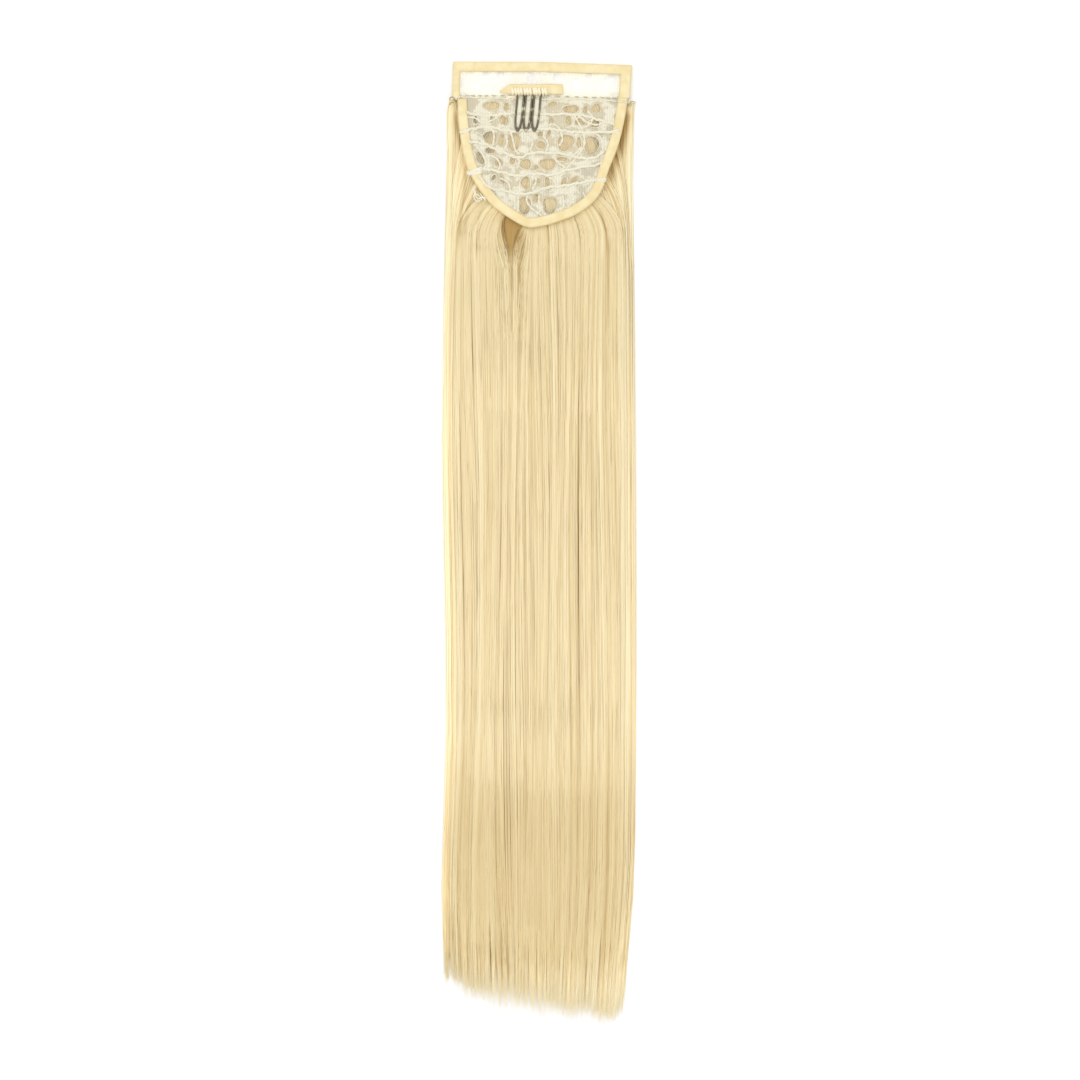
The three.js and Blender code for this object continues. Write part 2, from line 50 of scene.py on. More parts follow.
# Sizes of the base, its binding and the flap
CLEARANCE = 0.3 * MM
LEAF = 1.0 * MM
NET = 1.0 * MM
BASE_SHIFT = 1.6 * MM
BASE_TAPE = 6.0 * MM
FLAP_LEFT_TAPE = 4.6 * MM
FLAP_TOP_TAPE = 6.3 * MM
FLAP_RIGHT_TAPE = 6.9 * MM
FLAP_BOW = 0.9 * MM
FLAP_DROP = 2.2 * MM
FLAP_STRETCH = 1.2 * MM
FLAP_FLARE = (3.2 * MM, 1.2 * MM)
BASE_SLACK = 0.6 * MM
RISE_LENGTH = 62 * MM
RISE_CURVE = 1.6

tape_low, tape_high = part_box("base_tape")
flap_low, flap_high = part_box("flap_tape")
hair_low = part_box("hair_weft_1")[0]
BASE_WIDTH = tape_high.x - tape_low.x
BASE_DEPTH = 82 * MM
FLAP_WIDTH = flap_high.x - flap_low.x
SEAM_Y = tape_high.y + CLEARANCE / 2
BASE_X = (tape_high.x + tape_low.x) / 2
HAIR_X = BASE_X - BASE_SHIFT
FLAP_HEIGHT = flap_high.y - SEAM_Y
HAIR_LENGTH = SEAM_Y - hair_low.y

# Sizes of the hair
HALF_HAIR = 59.2 * MM
CURTAIN = 1.9 * MM
SIDE_THINNING = 0.5
HEAD_BAND = 4 * MM
FAN_LENGTHS = [25 * MM, 80 * MM, 68 * MM, 54 * MM, 40 * MM, 27 * MM]
LOWER_REACH = 12 * MM
TIP_SLANT = 12 * MM
TIP_EXTRA = 12 * MM
TIP_CORNER = 9 * MM
UPPER_INSET = 7 * MM
WEFTS = 6

# How much flatter the hair lies towards the tips, how far before them it starts and over what length
SETTLING = 0.34
SETTLE_START = 190 * MM
SETTLE_LENGTH = 170 * MM

# Bodies of the wefts: how much shorter than the tips they are, how much more each weft further up, and how
# long the teeth of their lower ends are
BODY_SHORT = 34 * MM
BODY_STEP = 1.5 * MM
BODY_TEETH = 8 * MM

# Light that comes through thin hair: how far before the tips it starts and over what length it grows, the
# same at the sides as shares of the half width, and its strength on the right side
GLOW_START = 58 * MM
GLOW_LENGTH = 46 * MM
GLOW_SIDE = 0.9
GLOW_SIDE_WIDTH = 0.08
GLOW_RIGHT = 0.7

# Depths in decimetres between which the hair's colour changes: where it is deeper low down, and where painted
# shade under the base darkens its roots
DEEPER_FROM = (3.9, 4.7)
DEEPER_TO = (5.35, 5.7)
ROOTS_TO = (1.1, 2.2)

# The gap in the uppermost hair under the base's lowest point: its middle, half width and reach, the depths
# where it opens, and the depths in millimetres between which single hairs close it
GAP_X = -18.2 * MM
GAP_PUSH = 7.3 * MM
GAP_REACH = 8 * MM
GAP_START = 56 * MM
GAP_OPENING = 22 * MM
GAP_CLOSED = (98, 128)
GAP_CLOSING = 34 * MM

# Strands: how many for the outermost weft and for each one between, how many locks they gather in, by what
# share and over what length before the tip, and how far they drift sideways. For the uppermost weft the
# name, number, least and greatest width in millimetres, place in the curtain's thickness and mean
# shortening in millimetres
OUTER_STRANDS = 850
MIDDLE_STRANDS = 470
SUB_LOCKS = 34
LOCK_PINCH = 0.42
PINCH_LENGTH = 70 * MM
STRAND_DRIFT = 0.7 * MM
UPPER_STRANDS = [
    ("hair_lock_6", 1600, (0.45, 0.85), (0.84, 1.0), 11),
    ("hair_fine_6", 800, (0.2, 0.36), (0.98, 1.1), 6),
]

# The base's curved edge from the right end of the seam round to the left end, as shares of its size
BASE_EDGE = [
    (0.5, 0), (0.471, 0.223), (0.436, 0.392), (0.386, 0.56), (0.348, 0.708), (0.289, 0.815),
    (0.193, 0.904), (0.096, 0.954), (0.016, 0.985), (-0.085, 1), (-0.184, 0.938), (-0.307, 0.815),
    (-0.406, 0.631), (-0.459, 0.454), (-0.488, 0.223), (-0.5, 0),
]

# Sections of the hair: place from -1 at the seam over 0 below the base to 1 at the longest tip,
# share of the curtain's thickness, and the left and right edge as shares of half the width
SECTIONS = np.array([
    (-1, 0.58, 0.968, 1.032),
    (-0.93, 0.58, 0.995, 1.005),
    (-0.32, 0.58, 1, 0.985),
    (0, 0.58, 0.995, 0.99),
    (0.08, 0.8, 0.989, 0.985),
    (0.19, 1, 0.989, 0.979),
    (0.4, 0.95, 0.989, 0.989),
    (0.62, 0.8, 0.994, 1),
    (0.82, 0.62, 1.035, 0.989),
    (1, 0.42, 1, 0.88),
])

# Each weft's sewn head as shares of the base's depth: its ends, how much lower its middle lies,
# and how much lower its right end lies than its middle
WEFT_HEADS = [
    (0, 0, 0.015),
    (0.115, 0, 0.03),
    (0.245, 0, 0),
    (0.38, 0.055, 0.03),
    (0.52, 0.06, -0.03),
    (0.65, 0.085, 0),
]

# Partings in the uppermost hair: share of its half width, half width in millimetres and depth of the cut
PARTINGS = np.array([
    (-0.895, 0.5, 0.35),
    (-0.735, 0.45, 0.45),
    (-0.623, 0.45, 0.5),
    (-0.293, 0.7, 0.75),
    (-0.183, 0.5, 0.6),
    (-0.061, 0.4, 0.45),
    (0.122, 0.45, 0.5),
    (0.39, 0.4, 0.4),
    (0.464, 0.7, 0.8),
    (0.62, 0.4, 0.35),
    (0.83, 0.6, 0.45),
])

# Shadowed hollows: points of a line as millimetres across and below the seam, half width and strength
HOLLOWS = [
    ([(-18.8, 70), (-18, 86), (-15.5, 94)], 7.2, 1.0),
    ([(-13.2, 86), (-12.6, 150)], 1.8, 0.55),
    ([(-25.8, 76), (-27.6, 104)], 0.9, 0.5),
    ([(57, 4), (52.5, 20), (46.8, 40), (42, 54)], 3.9, 1.0),
    ([(-54, 6), (-51, 25), (-46.5, 50), (-49, 68), (-51.5, 90)], 1.3, 0.7),
    ([(41, 50), (47.2, 64), (51.7, 76), (52, 92)], 1.1, 0.5),
    ([(36.5, 66), (42.8, 88), (43.5, 130)], 0.8, 0.5),
    ([(-43, 56), (-46, 66), (-47, 84)], 0.9, 0.6),
    ([(-36, 66), (-39, 78), (-40, 96)], 0.8, 0.45),
]

# Openings in the lace: across, down, wide, tall and lean. Across and wide are shares of the base's width,
# down and tall of its depth
LACE_OPENINGS = np.array([
    (-0.298, 0.058, 0.094, 0.069, 0), (-0.211, 0.065, 0.035, 0.062, 0), (0.06, 0.045, 0.047, 0.038, 0),
    (0.167, 0.085, 0.1, 0.062, 0), (0.25, 0.09, 0.023, 0.054, 0.3), (0.314, 0.078, 0.053, 0.069, 0),
    (-0.392, 0.17, 0.029, 0.062, 0), (-0.297, 0.166, 0.021, 0.062, 0), (-0.226, 0.168, 0.053, 0.077, 0),
    (0.05, 0.177, 0.029, 0.046, 0), (0.151, 0.175, 0.035, 0.069, 0), (0.22, 0.185, 0.059, 0.06, 0),
    (0.302, 0.197, 0.065, 0.06, 0), (-0.305, 0.308, 0.076, 0.1, -0.2), (-0.241, 0.331, 0.029, 0.092, 0.2),
    (-0.167, 0.338, 0.07, 0.146, 0), (-0.009, 0.281, 0.041, 0.038, 0), (0.035, 0.277, 0.026, 0.05, 0.3),
    (-0.009, 0.365, 0.053, 0.062, 0), (0.135, 0.346, 0.094, 0.123, 0.2), (0.212, 0.35, 0.027, 0.092, 0),
    (0.285, 0.365, 0.088, 0.138, 0), (-0.304, 0.405, 0.058, 0.045, 0), (-0.365, 0.47, 0.041, 0.09, -0.3),
    (-0.256, 0.5, 0.045, 0.055, 0), (-0.175, 0.485, 0.03, 0.07, 0), (-0.099, 0.515, 0.07, 0.077, 0),
    (-0.04, 0.54, 0.029, 0.038, 0), (0.03, 0.514, 0.094, 0.085, 0), (0.115, 0.474, 0.064, 0.031, 0),
    (-0.285, 0.62, 0.023, 0.046, 0.3), (-0.233, 0.638, 0.029, 0.054, -0.3), (-0.099, 0.658, 0.058, 0.092, 0),
    (-0.035, 0.65, 0.038, 0.046, 0.4), (0.028, 0.65, 0.029, 0.07, 0), (0.125, 0.65, 0.029, 0.062, 0.4),
    (0.186, 0.635, 0.035, 0.046, 0.5), (-0.106, 0.83, 0.076, 0.131, 0), (-0.036, 0.78, 0.038, 0.069, 0),
    (0.042, 0.83, 0.082, 0.123, 0), (-0.385, -0.085, 0.055, 0.06, 0), (-0.335, -0.19, 0.03, 0.05, 0),
    (-0.248, -0.185, 0.04, 0.055, 0), (-0.28, -0.08, 0.035, 0.05, 0), (-0.068, -0.165, 0.045, 0.06, 0),
    (0.08, -0.165, 0.035, 0.045, 0), (0.19, -0.12, 0.045, 0.07, 0), (0.27, -0.18, 0.03, 0.05, 0),
    (0.325, -0.08, 0.04, 0.06, 0), (0.395, -0.14, 0.06, 0.08, 0),
])

# Sizes of the lace: its sheet and the cells it is made of, the fade round each opening, its slanting
# threads, and the finest net
LACE_HALF = 0.16 * MM
LACE_CELL = 0.66 * MM
RIM_SNAP = 0.62 * LACE_CELL
RIM_FADE = 1.5 * MM
THREAD_SLOPE = 0.58
THREAD_PITCH = 1.1 * MM
NET_PITCH = 1.6 * MM
NET_THREAD = 0.16 * MM

# Cords, stitch rows and loose threads run through points in millimetres across from the middle of the
# hair and below the seam. Cords of the lace's pattern:
VINES = [
    [(-7.6, 60.6), (-8.3, 65.5), (-4.8, 70.5), (0.1, 73.9), (0.8, 76.5)],
    [(-0.6, 62), (-0.6, 66.9), (1.5, 69.7), (-2, 74)],
    [(-21.5, 23.5), (-20.8, 29.1), (-24.4, 35.4), (-28, 33)],
    [(12, 30.5), (14.1, 26.3), (12, 19.3), (7.8, 16.5), (3.7, 19.3), (2, 25)],
    [(21.2, 10.2), (26, 19.3), (28.2, 28.4), (24.6, 35.4), (20.4, 41), (16.3, 45.2)],
    [(8.6, 37.5), (12, 41.7), (16.3, 44.5)],
    [(19.7, 38.2), (26, 31.3)],
    [(-14.5, 45.2), (-13.2, 39.6), (-18.8, 35.4)],
    [(-47, 12), (-41, 12.5), (-36, 15.5), (-29, 13.5), (-25, 9), (-21, 12)],
    [(-44, 22), (-38, 18.5), (-33, 19), (-27, 21.5)],
    [(-31, 18), (-29, 23), (-29.5, 29), (-32, 31.5)],
    [(-24, 17), (-19, 21), (-17, 27), (-15.5, 33), (-13, 36)],
    [(30, 8), (33, 12.5), (31, 17), (26, 19)],
    [(24, 11), (29, 15), (36, 17), (41, 14)],
    [(33, 22), (38, 25), (39.5, 32), (36, 38)],
    [(-40, 31), (-36, 36), (-34, 42), (-37, 47)],
    [(-34, 36), (-28, 38), (-25, 43), (-27, 47)],
    [(-25, 51), (-20, 54), (-18, 60), (-13, 61)],
    [(-14, 62), (-13.5, 68), (-14.5, 74)],
    [(-4, 48), (-2.5, 53), (-4.5, 58), (-1, 60)],
    [(3, 49), (8, 52), (10, 57), (6, 60)],
    [(27, 60), (28.5, 64), (26, 69)],
    [(14, 62), (15, 68), (12, 74)],
    [(18, 61), (19.5, 66), (17, 71)],
    [(-8, 24), (-4.5, 28), (-6, 33), (-3, 36)],
    [(2, 24), (5, 29), (4, 34), (7, 36)],
]

# Radius in millimetres of the weft rows' plies and of the stitches that cross them
PLY = 0.46
THIN_PLY = 0.26
END_PLY = 0.14
CROSS_STITCH = 0.32

# Where the wefts are stitched on, from the left end over the lace to the right end of each
STITCH_ROWS = [
    [(-56.5, 0.6), (-48, -0.8), (-38, -0.6), (-20, 0.2), (0, 0.4), (20, 0.2), (40, 0.8), (50, 2.2),
     (59, 2.6)],
    [(-46.3, 9.4), (-32.5, 11), (-19.5, 9.8), (-8, 9.6), (4, 10.2), (25, 10.7), (37, 13.7), (47, 17)],
    [(-50.5, 22.2), (-46, 20.5), (-40.3, 19.2), (-31.4, 18.5), (-19.3, 20.8), (-8, 20.2), (4, 19.7),
     (14.8, 20.8), (24.9, 21.7), (44, 21.7), (49.5, 20.5)],
    [(-45, 27.5), (-35.3, 29.5), (-25.4, 33.8), (-13.2, 38), (-5.2, 35.2), (12.9, 35.4), (24.9, 38),
     (33.9, 38.2), (40.5, 34)],
    [(-45.5, 47.5), (-43.5, 48.2), (-35.3, 45.4), (-25.4, 46.9), (-13.2, 49.8), (-5.2, 48.2), (7.8, 48.8),
     (17.9, 45.8), (35, 42.8), (39, 41)],
    [(-38.5, 50), (-32.3, 56.9), (-21.5, 59), (-13.2, 61), (-5.2, 60.5), (4.8, 56.9), (14.8, 55.9),
     (24.9, 54.2), (35, 52.3), (41.5, 52)],
]

# Comb and ribbon
WIRE = 0.66 * MM
TOOTH_LENGTH = 24 * MM
TOOTH_WIDTH = 4 * MM
TOOTH_SPACING = 5.3 * MM
TOOTH_TIP = 2.2 * MM
TOOTH_LEAN = -2.2 * MM
COMB_X = -6.6 * MM
BAR_Y = 4.2 * MM
BAR_OVERHANG = 2.6 * MM
BAR_CURL = 2.4 * MM
TIP_RING = (0.55 * MM, 0.65 * MM)
TIP_RING_WIRE = 0.75 * MM
RIBBON_LENGTH = 39.7 * MM
RIBBON_WIDTH = 6.2 * MM
RIBBON_LEFT = 11.4 * MM
RIBBON_RAMP = 4 * MM


# Heights and outlines

HEAD_CURTAIN = CURTAIN * SECTIONS[0, 1]
SEAM_RISE = HEAD_CURTAIN + CLEARANCE
LEVEL_RISE = WEFTS * SEAM_RISE + BASE_SLACK
FREE_START = BASE_DEPTH + LOWER_REACH


def ease(value):
    """Smooth step from 0 to 1."""
    value = np.clip(value, 0, 1)
    return value * value * (3 - 2 * value)


def underside(y):
    """Height of the binding's underside, y above the seam: straight down the flap, and below the seam
    a power curve that flattens out on the hair."""
    left = 1 - np.clip(-y / RISE_LENGTH, 0, 1)
    base = SEAM_RISE + (LEVEL_RISE - SEAM_RISE) * (1 - left**RISE_CURVE)
    flap = np.maximum(0, SEAM_RISE * (1 - y / FLAP_HEIGHT))
    return np.where(y > 0, flap, base)


def net_height(y):
    """Height of the middle of the lace."""
    return underside(y) + LEAF + CLEARANCE + NET * 0.7


SECTION_DEPTHS = np.where(
    SECTIONS[:, 0] <= 0,
    (1 + SECTIONS[:, 0]) * FREE_START,
    FREE_START + SECTIONS[:, 0] * (HAIR_LENGTH - FREE_START),
)


def section(column, depth):
    """One column of the hair's sections at distances below the seam, straight between its rows."""
    return np.interp(depth, SECTION_DEPTHS, SECTIONS[:, column])


def curtain(share, depth):
    """Thickness of one weft's hair, less by the fourth power of the share towards the sides."""
    thin = 1 - SIDE_THINNING * np.minimum(1, np.abs(share)) ** 4
    return CURTAIN * section(1, depth) * thin


def smooth_path(points, count):
    """Points evenly spread in the parameter of a Catmull-Rom curve through a list of points."""
    points = np.asarray(points, float)
    padded = np.vstack([2 * points[0] - points[1], points, 2 * points[-1] - points[-2]])
    place = np.linspace(0, len(points) - 1, count)
    cell = np.minimum(place.astype(int), len(points) - 2)
    t = (place - cell)[:, None]
    a, b, c, d = (padded[cell + step] for step in range(4))
    return 0.5 * (2 * b + (c - a) * t + (2 * a - 5 * b + 4 * c - d) * t**2 + (3 * b - a - 3 * c + d) * t**3)


def base_path(count):
    """The base's curved edge, x from the base's middle and y above the seam."""
    edge = np.array(BASE_EDGE) * (BASE_WIDTH, -BASE_DEPTH)
    return smooth_path(edge, count)


def flap_path():
    """The flap's edge from the left end of the seam over its top to the right end."""
    left = FLAP_HEIGHT + FLAP_STRETCH
    right = left - FLAP_DROP
    return np.array([
        (-BASE_WIDTH / 2 - FLAP_FLARE[0], 0),
        (-FLAP_WIDTH / 2, left),
        (0, (left + right) / 2 + FLAP_BOW),
        (FLAP_WIDTH / 2, right),
        (BASE_WIDTH / 2 + FLAP_FLARE[1], 0),
    ])


def inward(points, widths):
    """A path moved to its right side, each edge by its own width, with mitred corners."""
    along = np.diff(points, axis=0)
    along /= np.linalg.norm(along, axis=1)[:, None]
    normal = np.stack([along[:, 1], -along[:, 0]], axis=1)
    a = normal[np.maximum(0, np.arange(len(points)) - 1)]
    b = normal[np.minimum(len(normal) - 1, np.arange(len(points)))]
    wa = widths[np.maximum(0, np.arange(len(points)) - 1)]
    wb = widths[np.minimum(len(normal) - 1, np.arange(len(points)))]
    dot = (a * b).sum(1)
    plain = (a + b) * (wa / (1 + dot))[:, None]
    square = np.maximum(1e-9, 1 - dot**2)
    mixed = a * ((wa - dot * wb) / square)[:, None] + b * ((wb - dot * wa) / square)[:, None]
    return points + np.where((np.abs(wa - wb) < 1e-9)[:, None], plain, mixed)


def inner_span(depth):
    """Left and right x of the binding's inner edge at a depth below the seam."""
    path = base_path(160)
    edge = inward(path, np.full(len(path) - 1, BASE_TAPE + CLEARANCE))
    side = edge[:, 0] > -0.1 * BASE_WIDTH
    right = np.interp(depth, -edge[side, 1], edge[side, 0])
    left = np.interp(depth, -edge[~side, 1][::-1], edge[~side, 0][::-1])
    return left + BASE_SHIFT, right + BASE_SHIFT


# Mesh making

def placed(x, y, z, middle=HAIR_X):
    """Points from places across from a middle line, above the seam and above the floor."""
    return np.stack(np.broadcast_arrays(middle + x, SEAM_Y + y, z), axis=-1)


def grid_faces(rows, columns, start=0, wrap_rows=False, wrap_columns=False):
    """Quads of a grid whose points run column by column within each row."""
    r = np.arange(rows if wrap_rows else rows - 1)
    c = np.arange(columns if wrap_columns else columns - 1)
    r, c = np.meshgrid(r, c, indexing="ij")
    below, beside = (r + 1) % rows, (c + 1) % columns
    quads = [r * columns + c, below * columns + c, below * columns + beside, r * columns + beside]
    return start + np.stack(quads, axis=-1).reshape(-1, 4)


def make_piece(name, points, faces, finish, slot, stands_for=(), uv=None, tone=None, glow=None):
    """A named mesh from an array of points and arrays of faces, riding on the one body."""
    mesh = bpy.data.meshes.new(name)
    corners = np.concatenate([block.ravel() for block in faces]).astype(np.int32)
    sizes = np.concatenate([np.full(len(block), block.shape[1]) for block in faces])
    mesh.vertices.add(len(points))
    mesh.vertices.foreach_set("co", np.ascontiguousarray(points, np.float32).ravel())
    mesh.loops.add(len(corners))
    mesh.loops.foreach_set("vertex_index", corners)
    mesh.polygons.add(len(sizes))
    starts = np.concatenate([[0], np.cumsum(sizes)[:-1]]).astype(np.int32)
    mesh.polygons.foreach_set("loop_start", starts)
    mesh.update(calc_edges=True)
    mesh.polygons.foreach_set("use_smooth", np.ones(len(sizes), bool))
    if uv is not None:
        layer = mesh.uv_layers.new(name="UVMap")
        layer.data.foreach_set("uv", uv[corners].astype(np.float32).ravel())
    for key, values in (("tone", tone), ("glow", glow)):
        if values is not None:
            attribute = mesh.attributes.new(key, "FLOAT", "POINT")
            attribute.data.foreach_set("value", values.astype(np.float32))
    mesh.materials.append(finish)
    piece = bpy.data.objects.new(name, mesh)
    bpy.context.scene.collection.objects.link(piece)
    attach(piece, "root")
    if stands_for:
        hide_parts(*stands_for)
    return piece


def sweep(paths, across, upright, sides, turn=0.0, closed=False):
    """Closed rods along one path or many, as points and faces. Round each path's point lies a ring: its
    cosine, times across, along the path's level normal, its sine, times upright, along the other normal."""
    paths = paths.reshape(-1, *paths.shape[-2:])
    count, steps, _ = paths.shape
    across, upright = (np.broadcast_to(size, (count, steps)) for size in (across, upright))
    if closed:
        along = np.roll(paths, -1, axis=1) - np.roll(paths, 1, axis=1)
    else:
        along = np.gradient(paths, axis=1)
    along /= np.linalg.norm(along, axis=2, keepdims=True) + 1e-12
    level = np.cross(along, (0, 0, 1))
    level /= np.linalg.norm(level, axis=2, keepdims=True) + 1e-12
    other = np.cross(level, along)
    angles = turn + np.arange(sides) / sides * math.tau
    ring = (
        level[:, :, None] * (across[..., None] * np.cos(angles))[..., None]
        + other[:, :, None] * (upright[..., None] * np.sin(angles))[..., None]
    )
    points = (paths[:, :, None] + ring).reshape(-1, 3)
    quads = grid_faces(steps, sides, wrap_rows=closed, wrap_columns=True)
    starts = np.arange(count)[:, None, None] * (steps * sides)
    faces = [(quads[None] + starts).reshape(-1, 4)]
    if not closed:
        first = np.arange(sides)
        caps = np.stack([first, first[::-1] + (steps - 1) * sides])
        faces.append((caps[None] + starts).reshape(-1, sides))
    return points, faces


def joined(parts):
    """Several lots of points and faces as one."""
    points, blocks, start = [], {}, 0
    for own_points, own_faces in parts:
        points.append(own_points)
        for block in own_faces:
            blocks.setdefault(block.shape[1], []).append(block + start)
        start += len(own_points)
    return np.concatenate(points), [np.concatenate(lot) for lot in blocks.values()]


def slab(top, bottom):
    """Closed solid between two grids of points of one shape, rows towards -Y and columns towards +X."""
    rows, columns, _ = top.shape
    size = rows * columns
    index = np.arange(size).reshape(rows, columns)
    upper = grid_faces(rows, columns)
    lower = grid_faces(rows, columns, start=size)[:, ::-1]
    walls = []
    for line, flip in ((index[:, 0], 0), (index[:, -1], 1), (index[0], 1), (index[-1], 0)):
        wall = np.stack([line[:-1], line[:-1] + size, line[1:] + size, line[1:]], axis=1)
        walls.append(wall[:, ::-1] if not flip else wall)
    points = np.concatenate([top.reshape(-1, 3), bottom.reshape(-1, 3)])
    return points, [np.concatenate([upper, lower, *[w[:, ::-1] for w in walls]])]


# Finishes

class Value:
    """A socket of a material, on which ordinary arithmetic adds Math nodes."""

    def __init__(self, finish, socket):
        self.finish = finish
        self.socket = socket

    def math(self, operation, *others):
        """A Math node of this value and the others."""
        values = {at: value for at, value in enumerate((self, *others))}
        return self.finish.add("ShaderNodeMath", {"operation": operation}, values)

    def __add__(self, other):
        return self.math("ADD", other)

    def __mul__(self, other):
        return self.math("MULTIPLY", other)

    def __sub__(self, other):
        return self.math("SUBTRACT", other)

    def __rsub__(self, other):
        return self.finish.add("ShaderNodeMath", {"operation": "SUBTRACT"}, {0: other, 1: self})

    __radd__ = __add__
    __rmul__ = __mul__

    def clamped(self):
        """Kept between 0 and 1."""
        return self.finish.add("ShaderNodeClamp", {}, {0: self})

    def between(self, low, high):
        """0 below low, 1 above high and smooth between."""
        sockets = {"Value": self, "From Min": low, "From Max": high}
        return self.finish.add("ShaderNodeMapRange", {"interpolation_type": "SMOOTHSTEP"}, sockets)


class Finish:
    """A material being put together from nodes."""

    def __init__(self, name):
        self.material = bpy.data.materials.new(name)
        self.material.use_nodes = True
        self.tree = self.material.node_tree
        self.tree.nodes.clear()

    def add(self, kind, settings=None, sockets=None, output=0):
        """Adds a node: its settings first, then the values or links of its sockets."""
        node = self.tree.nodes.new(kind)
        for name, value in (settings or {}).items():
            if name == "stops":
                self.set_stops(node.color_ramp, value)
            else:
                setattr(node, name, value)
        for name, value in (sockets or {}).items():
            if isinstance(value, Value):
                self.tree.links.new(value.socket, node.inputs[name])
            else:
                node.inputs[name].default_value = value
        return Value(self, node.outputs[output])

    @staticmethod
    def set_stops(ramp, stops):
        """Puts (place, colour) pairs into a colour ramp."""
        while len(ramp.elements) < len(stops):
            ramp.elements.new(1)
        for element, (place, colour) in zip(ramp.elements, stops):
            element.position = place
            element.color = (*colour, 1)

    def place(self):
        """Object coordinates, in metres."""
        return self.add("ShaderNodeTexCoord", output="Object")

    def own_uv(self):
        """The piece's own map."""
        return self.add("ShaderNodeUVMap", {"uv_map": "UVMap"})

    def kept(self, name):
        """A value kept on the piece's points."""
        return self.add("ShaderNodeAttribute", {"attribute_name": name}, output="Fac")

    def noise(self, vector, scale, detail=2):
        """Noise with its own scale along each axis: the larger, the finer."""
        scaled = self.add("ShaderNodeMapping", {}, {"Vector": vector, "Scale": scale})
        return self.add("ShaderNodeTexNoise", {}, {"Vector": scaled, "Scale": 1, "Detail": detail})

    def axes(self, vector):
        """The three numbers of a vector."""
        node = self.tree.nodes.new("ShaderNodeSeparateXYZ")
        self.tree.links.new(vector.socket, node.inputs[0])
        return [Value(self, output) for output in node.outputs]

    def mix(self, factor, first, second, blend="MIX"):
        """The first colour at factor 0 and the second, or their blend, at 1."""
        def colour(value):
            return value if isinstance(value, Value) else (*value, 1)

        settings = {"data_type": "RGBA", "blend_type": blend}
        return self.add("ShaderNodeMix", settings, {0: factor, 6: colour(first), 7: colour(second)}, 2)

    def bump(self, height, strength, distance):
        """A normal from a height, whose full step is the distance in metres."""
        sockets = {"Height": height, "Strength": strength, "Distance": distance}
        return self.add("ShaderNodeBump", {}, sockets)

    def surface(self, **sockets):
        """Ends the material in a Principled shader."""
        names = {}
        for name, value in sockets.items():
            names[name.replace("_", " ").title().replace("Ior", "IOR")] = value
        shader = self.add("ShaderNodeBsdfPrincipled", {}, names, "BSDF")
        end = self.tree.nodes.new("ShaderNodeOutputMaterial")
        self.tree.links.new(shader.socket, end.inputs["Surface"])
        return self.material


def linear(red, green, blue):
    """A screen colour from 0 to 255 as the linear colour that a shader takes."""
    values = np.array([red, green, blue]) / 255
    low = values / 12.92
    return tuple(float(v) for v in np.where(values <= 0.04045, low, ((values + 0.055) / 1.055) ** 2.4))


def hair_finish(name, dark, middle, light):
    """Blonde fibre. A tone kept on each strand picks the colour, with painted shade in partings and hollows
    and painted light towards the tips and under the lace; the map holds the place across in u and the depth
    below the seam in v, both in decimetres, so streaks run along the hair. Painted shade darkens the hair
    near its roots, and the kept glow gives off painted light as emission."""
    own = Finish(name)
    uv = own.own_uv()
    u, v, _ = own.axes(uv)
    tone = own.kept("tone")
    fine = own.noise(uv, (160, 1.6, 1), 3)
    broad = own.noise(uv, (22, 0.5, 1))
    shade = (tone + (fine - 0.5) * 0.3 + (broad - 0.5) * 0.16).clamped()
    stops = [(0, linear(*dark)), (0.5, linear(*middle)), (1, linear(*light))]
    colour = own.add("ShaderNodeValToRGB", {"stops": stops}, {"Fac": shade})
    low = v.between(*DEEPER_FROM) * (1 - v.between(*DEEPER_TO))
    # Painted shade: the hair is darker near its roots, under the base
    root = 1 - v.between(*ROOTS_TO)
    deeper = own.mix(low, colour, (0.88, 0.85, 0.78), "MULTIPLY")
    streak = own.noise(uv, (48, 0.8, 1)).between(0.5, 0.66) * low
    golden = own.mix(streak * 0.75, deeper, (0.88, 0.79, 0.62), "MULTIPLY")
    root_shaded = own.mix(root, golden, (0.92, 0.92, 0.9), "MULTIPLY")
    # Painted light: the glow gives off the hair's colour as emission, where light would come through thin
    # hair or lift the lace's shade
    glow = own.kept("glow")
    return own.surface(
        base_color=root_shaded,
        roughness=0.42 + fine * 0.16,
        specular_ior_level=0.4,
        emission_color=own.mix(glow, (0, 0, 0), root_shaded),
        emission_strength=0.2,
        normal=own.bump(fine, 0.25, 0.0002),
    )


def ribbon_finish():
    """Cream ribbon: ribs across it, painted shade towards both edges where the folded ribbon rounds over, and
    a faint mottle. The map holds the place over the ribbon's width in u and the length along it in v, in
    centimetres."""
    own = Finish("cream_ribbon")
    uv = own.own_uv()
    u, v, _ = own.axes(uv)
    rib = (v * (math.tau * 12)).math("SINE") * 0.5 + 0.5
    thread = (u * (math.tau * 16)).math("SINE") * 0.5 + 0.5
    mottle = own.noise(own.place(), (180, 180, 180), 4)
    # Painted shade towards the fold and the free edges, where the ribbon rounds away from the light
    edge = (u - 0.3).math("ABSOLUTE").between(0.2, 0.28)
    weave = rib * 0.6 + thread * 0.4
    cream = own.mix(mottle.between(0.3, 0.7), linear(236, 217, 163), linear(246, 232, 188))
    woven = own.mix((1 - weave) * 0.25, cream, linear(216, 190, 132))
    edge_shaded = own.mix(edge * 0.5, woven, linear(226, 202, 142))
    height = weave * 0.7 + mottle * 0.3
    return own.surface(
        base_color=edge_shaded,
        roughness=0.62 + mottle * 0.2,
        sheen_weight=0.25,
        sheen_roughness=0.5,
        normal=own.bump(height, 0.5, 0.0002),
    )


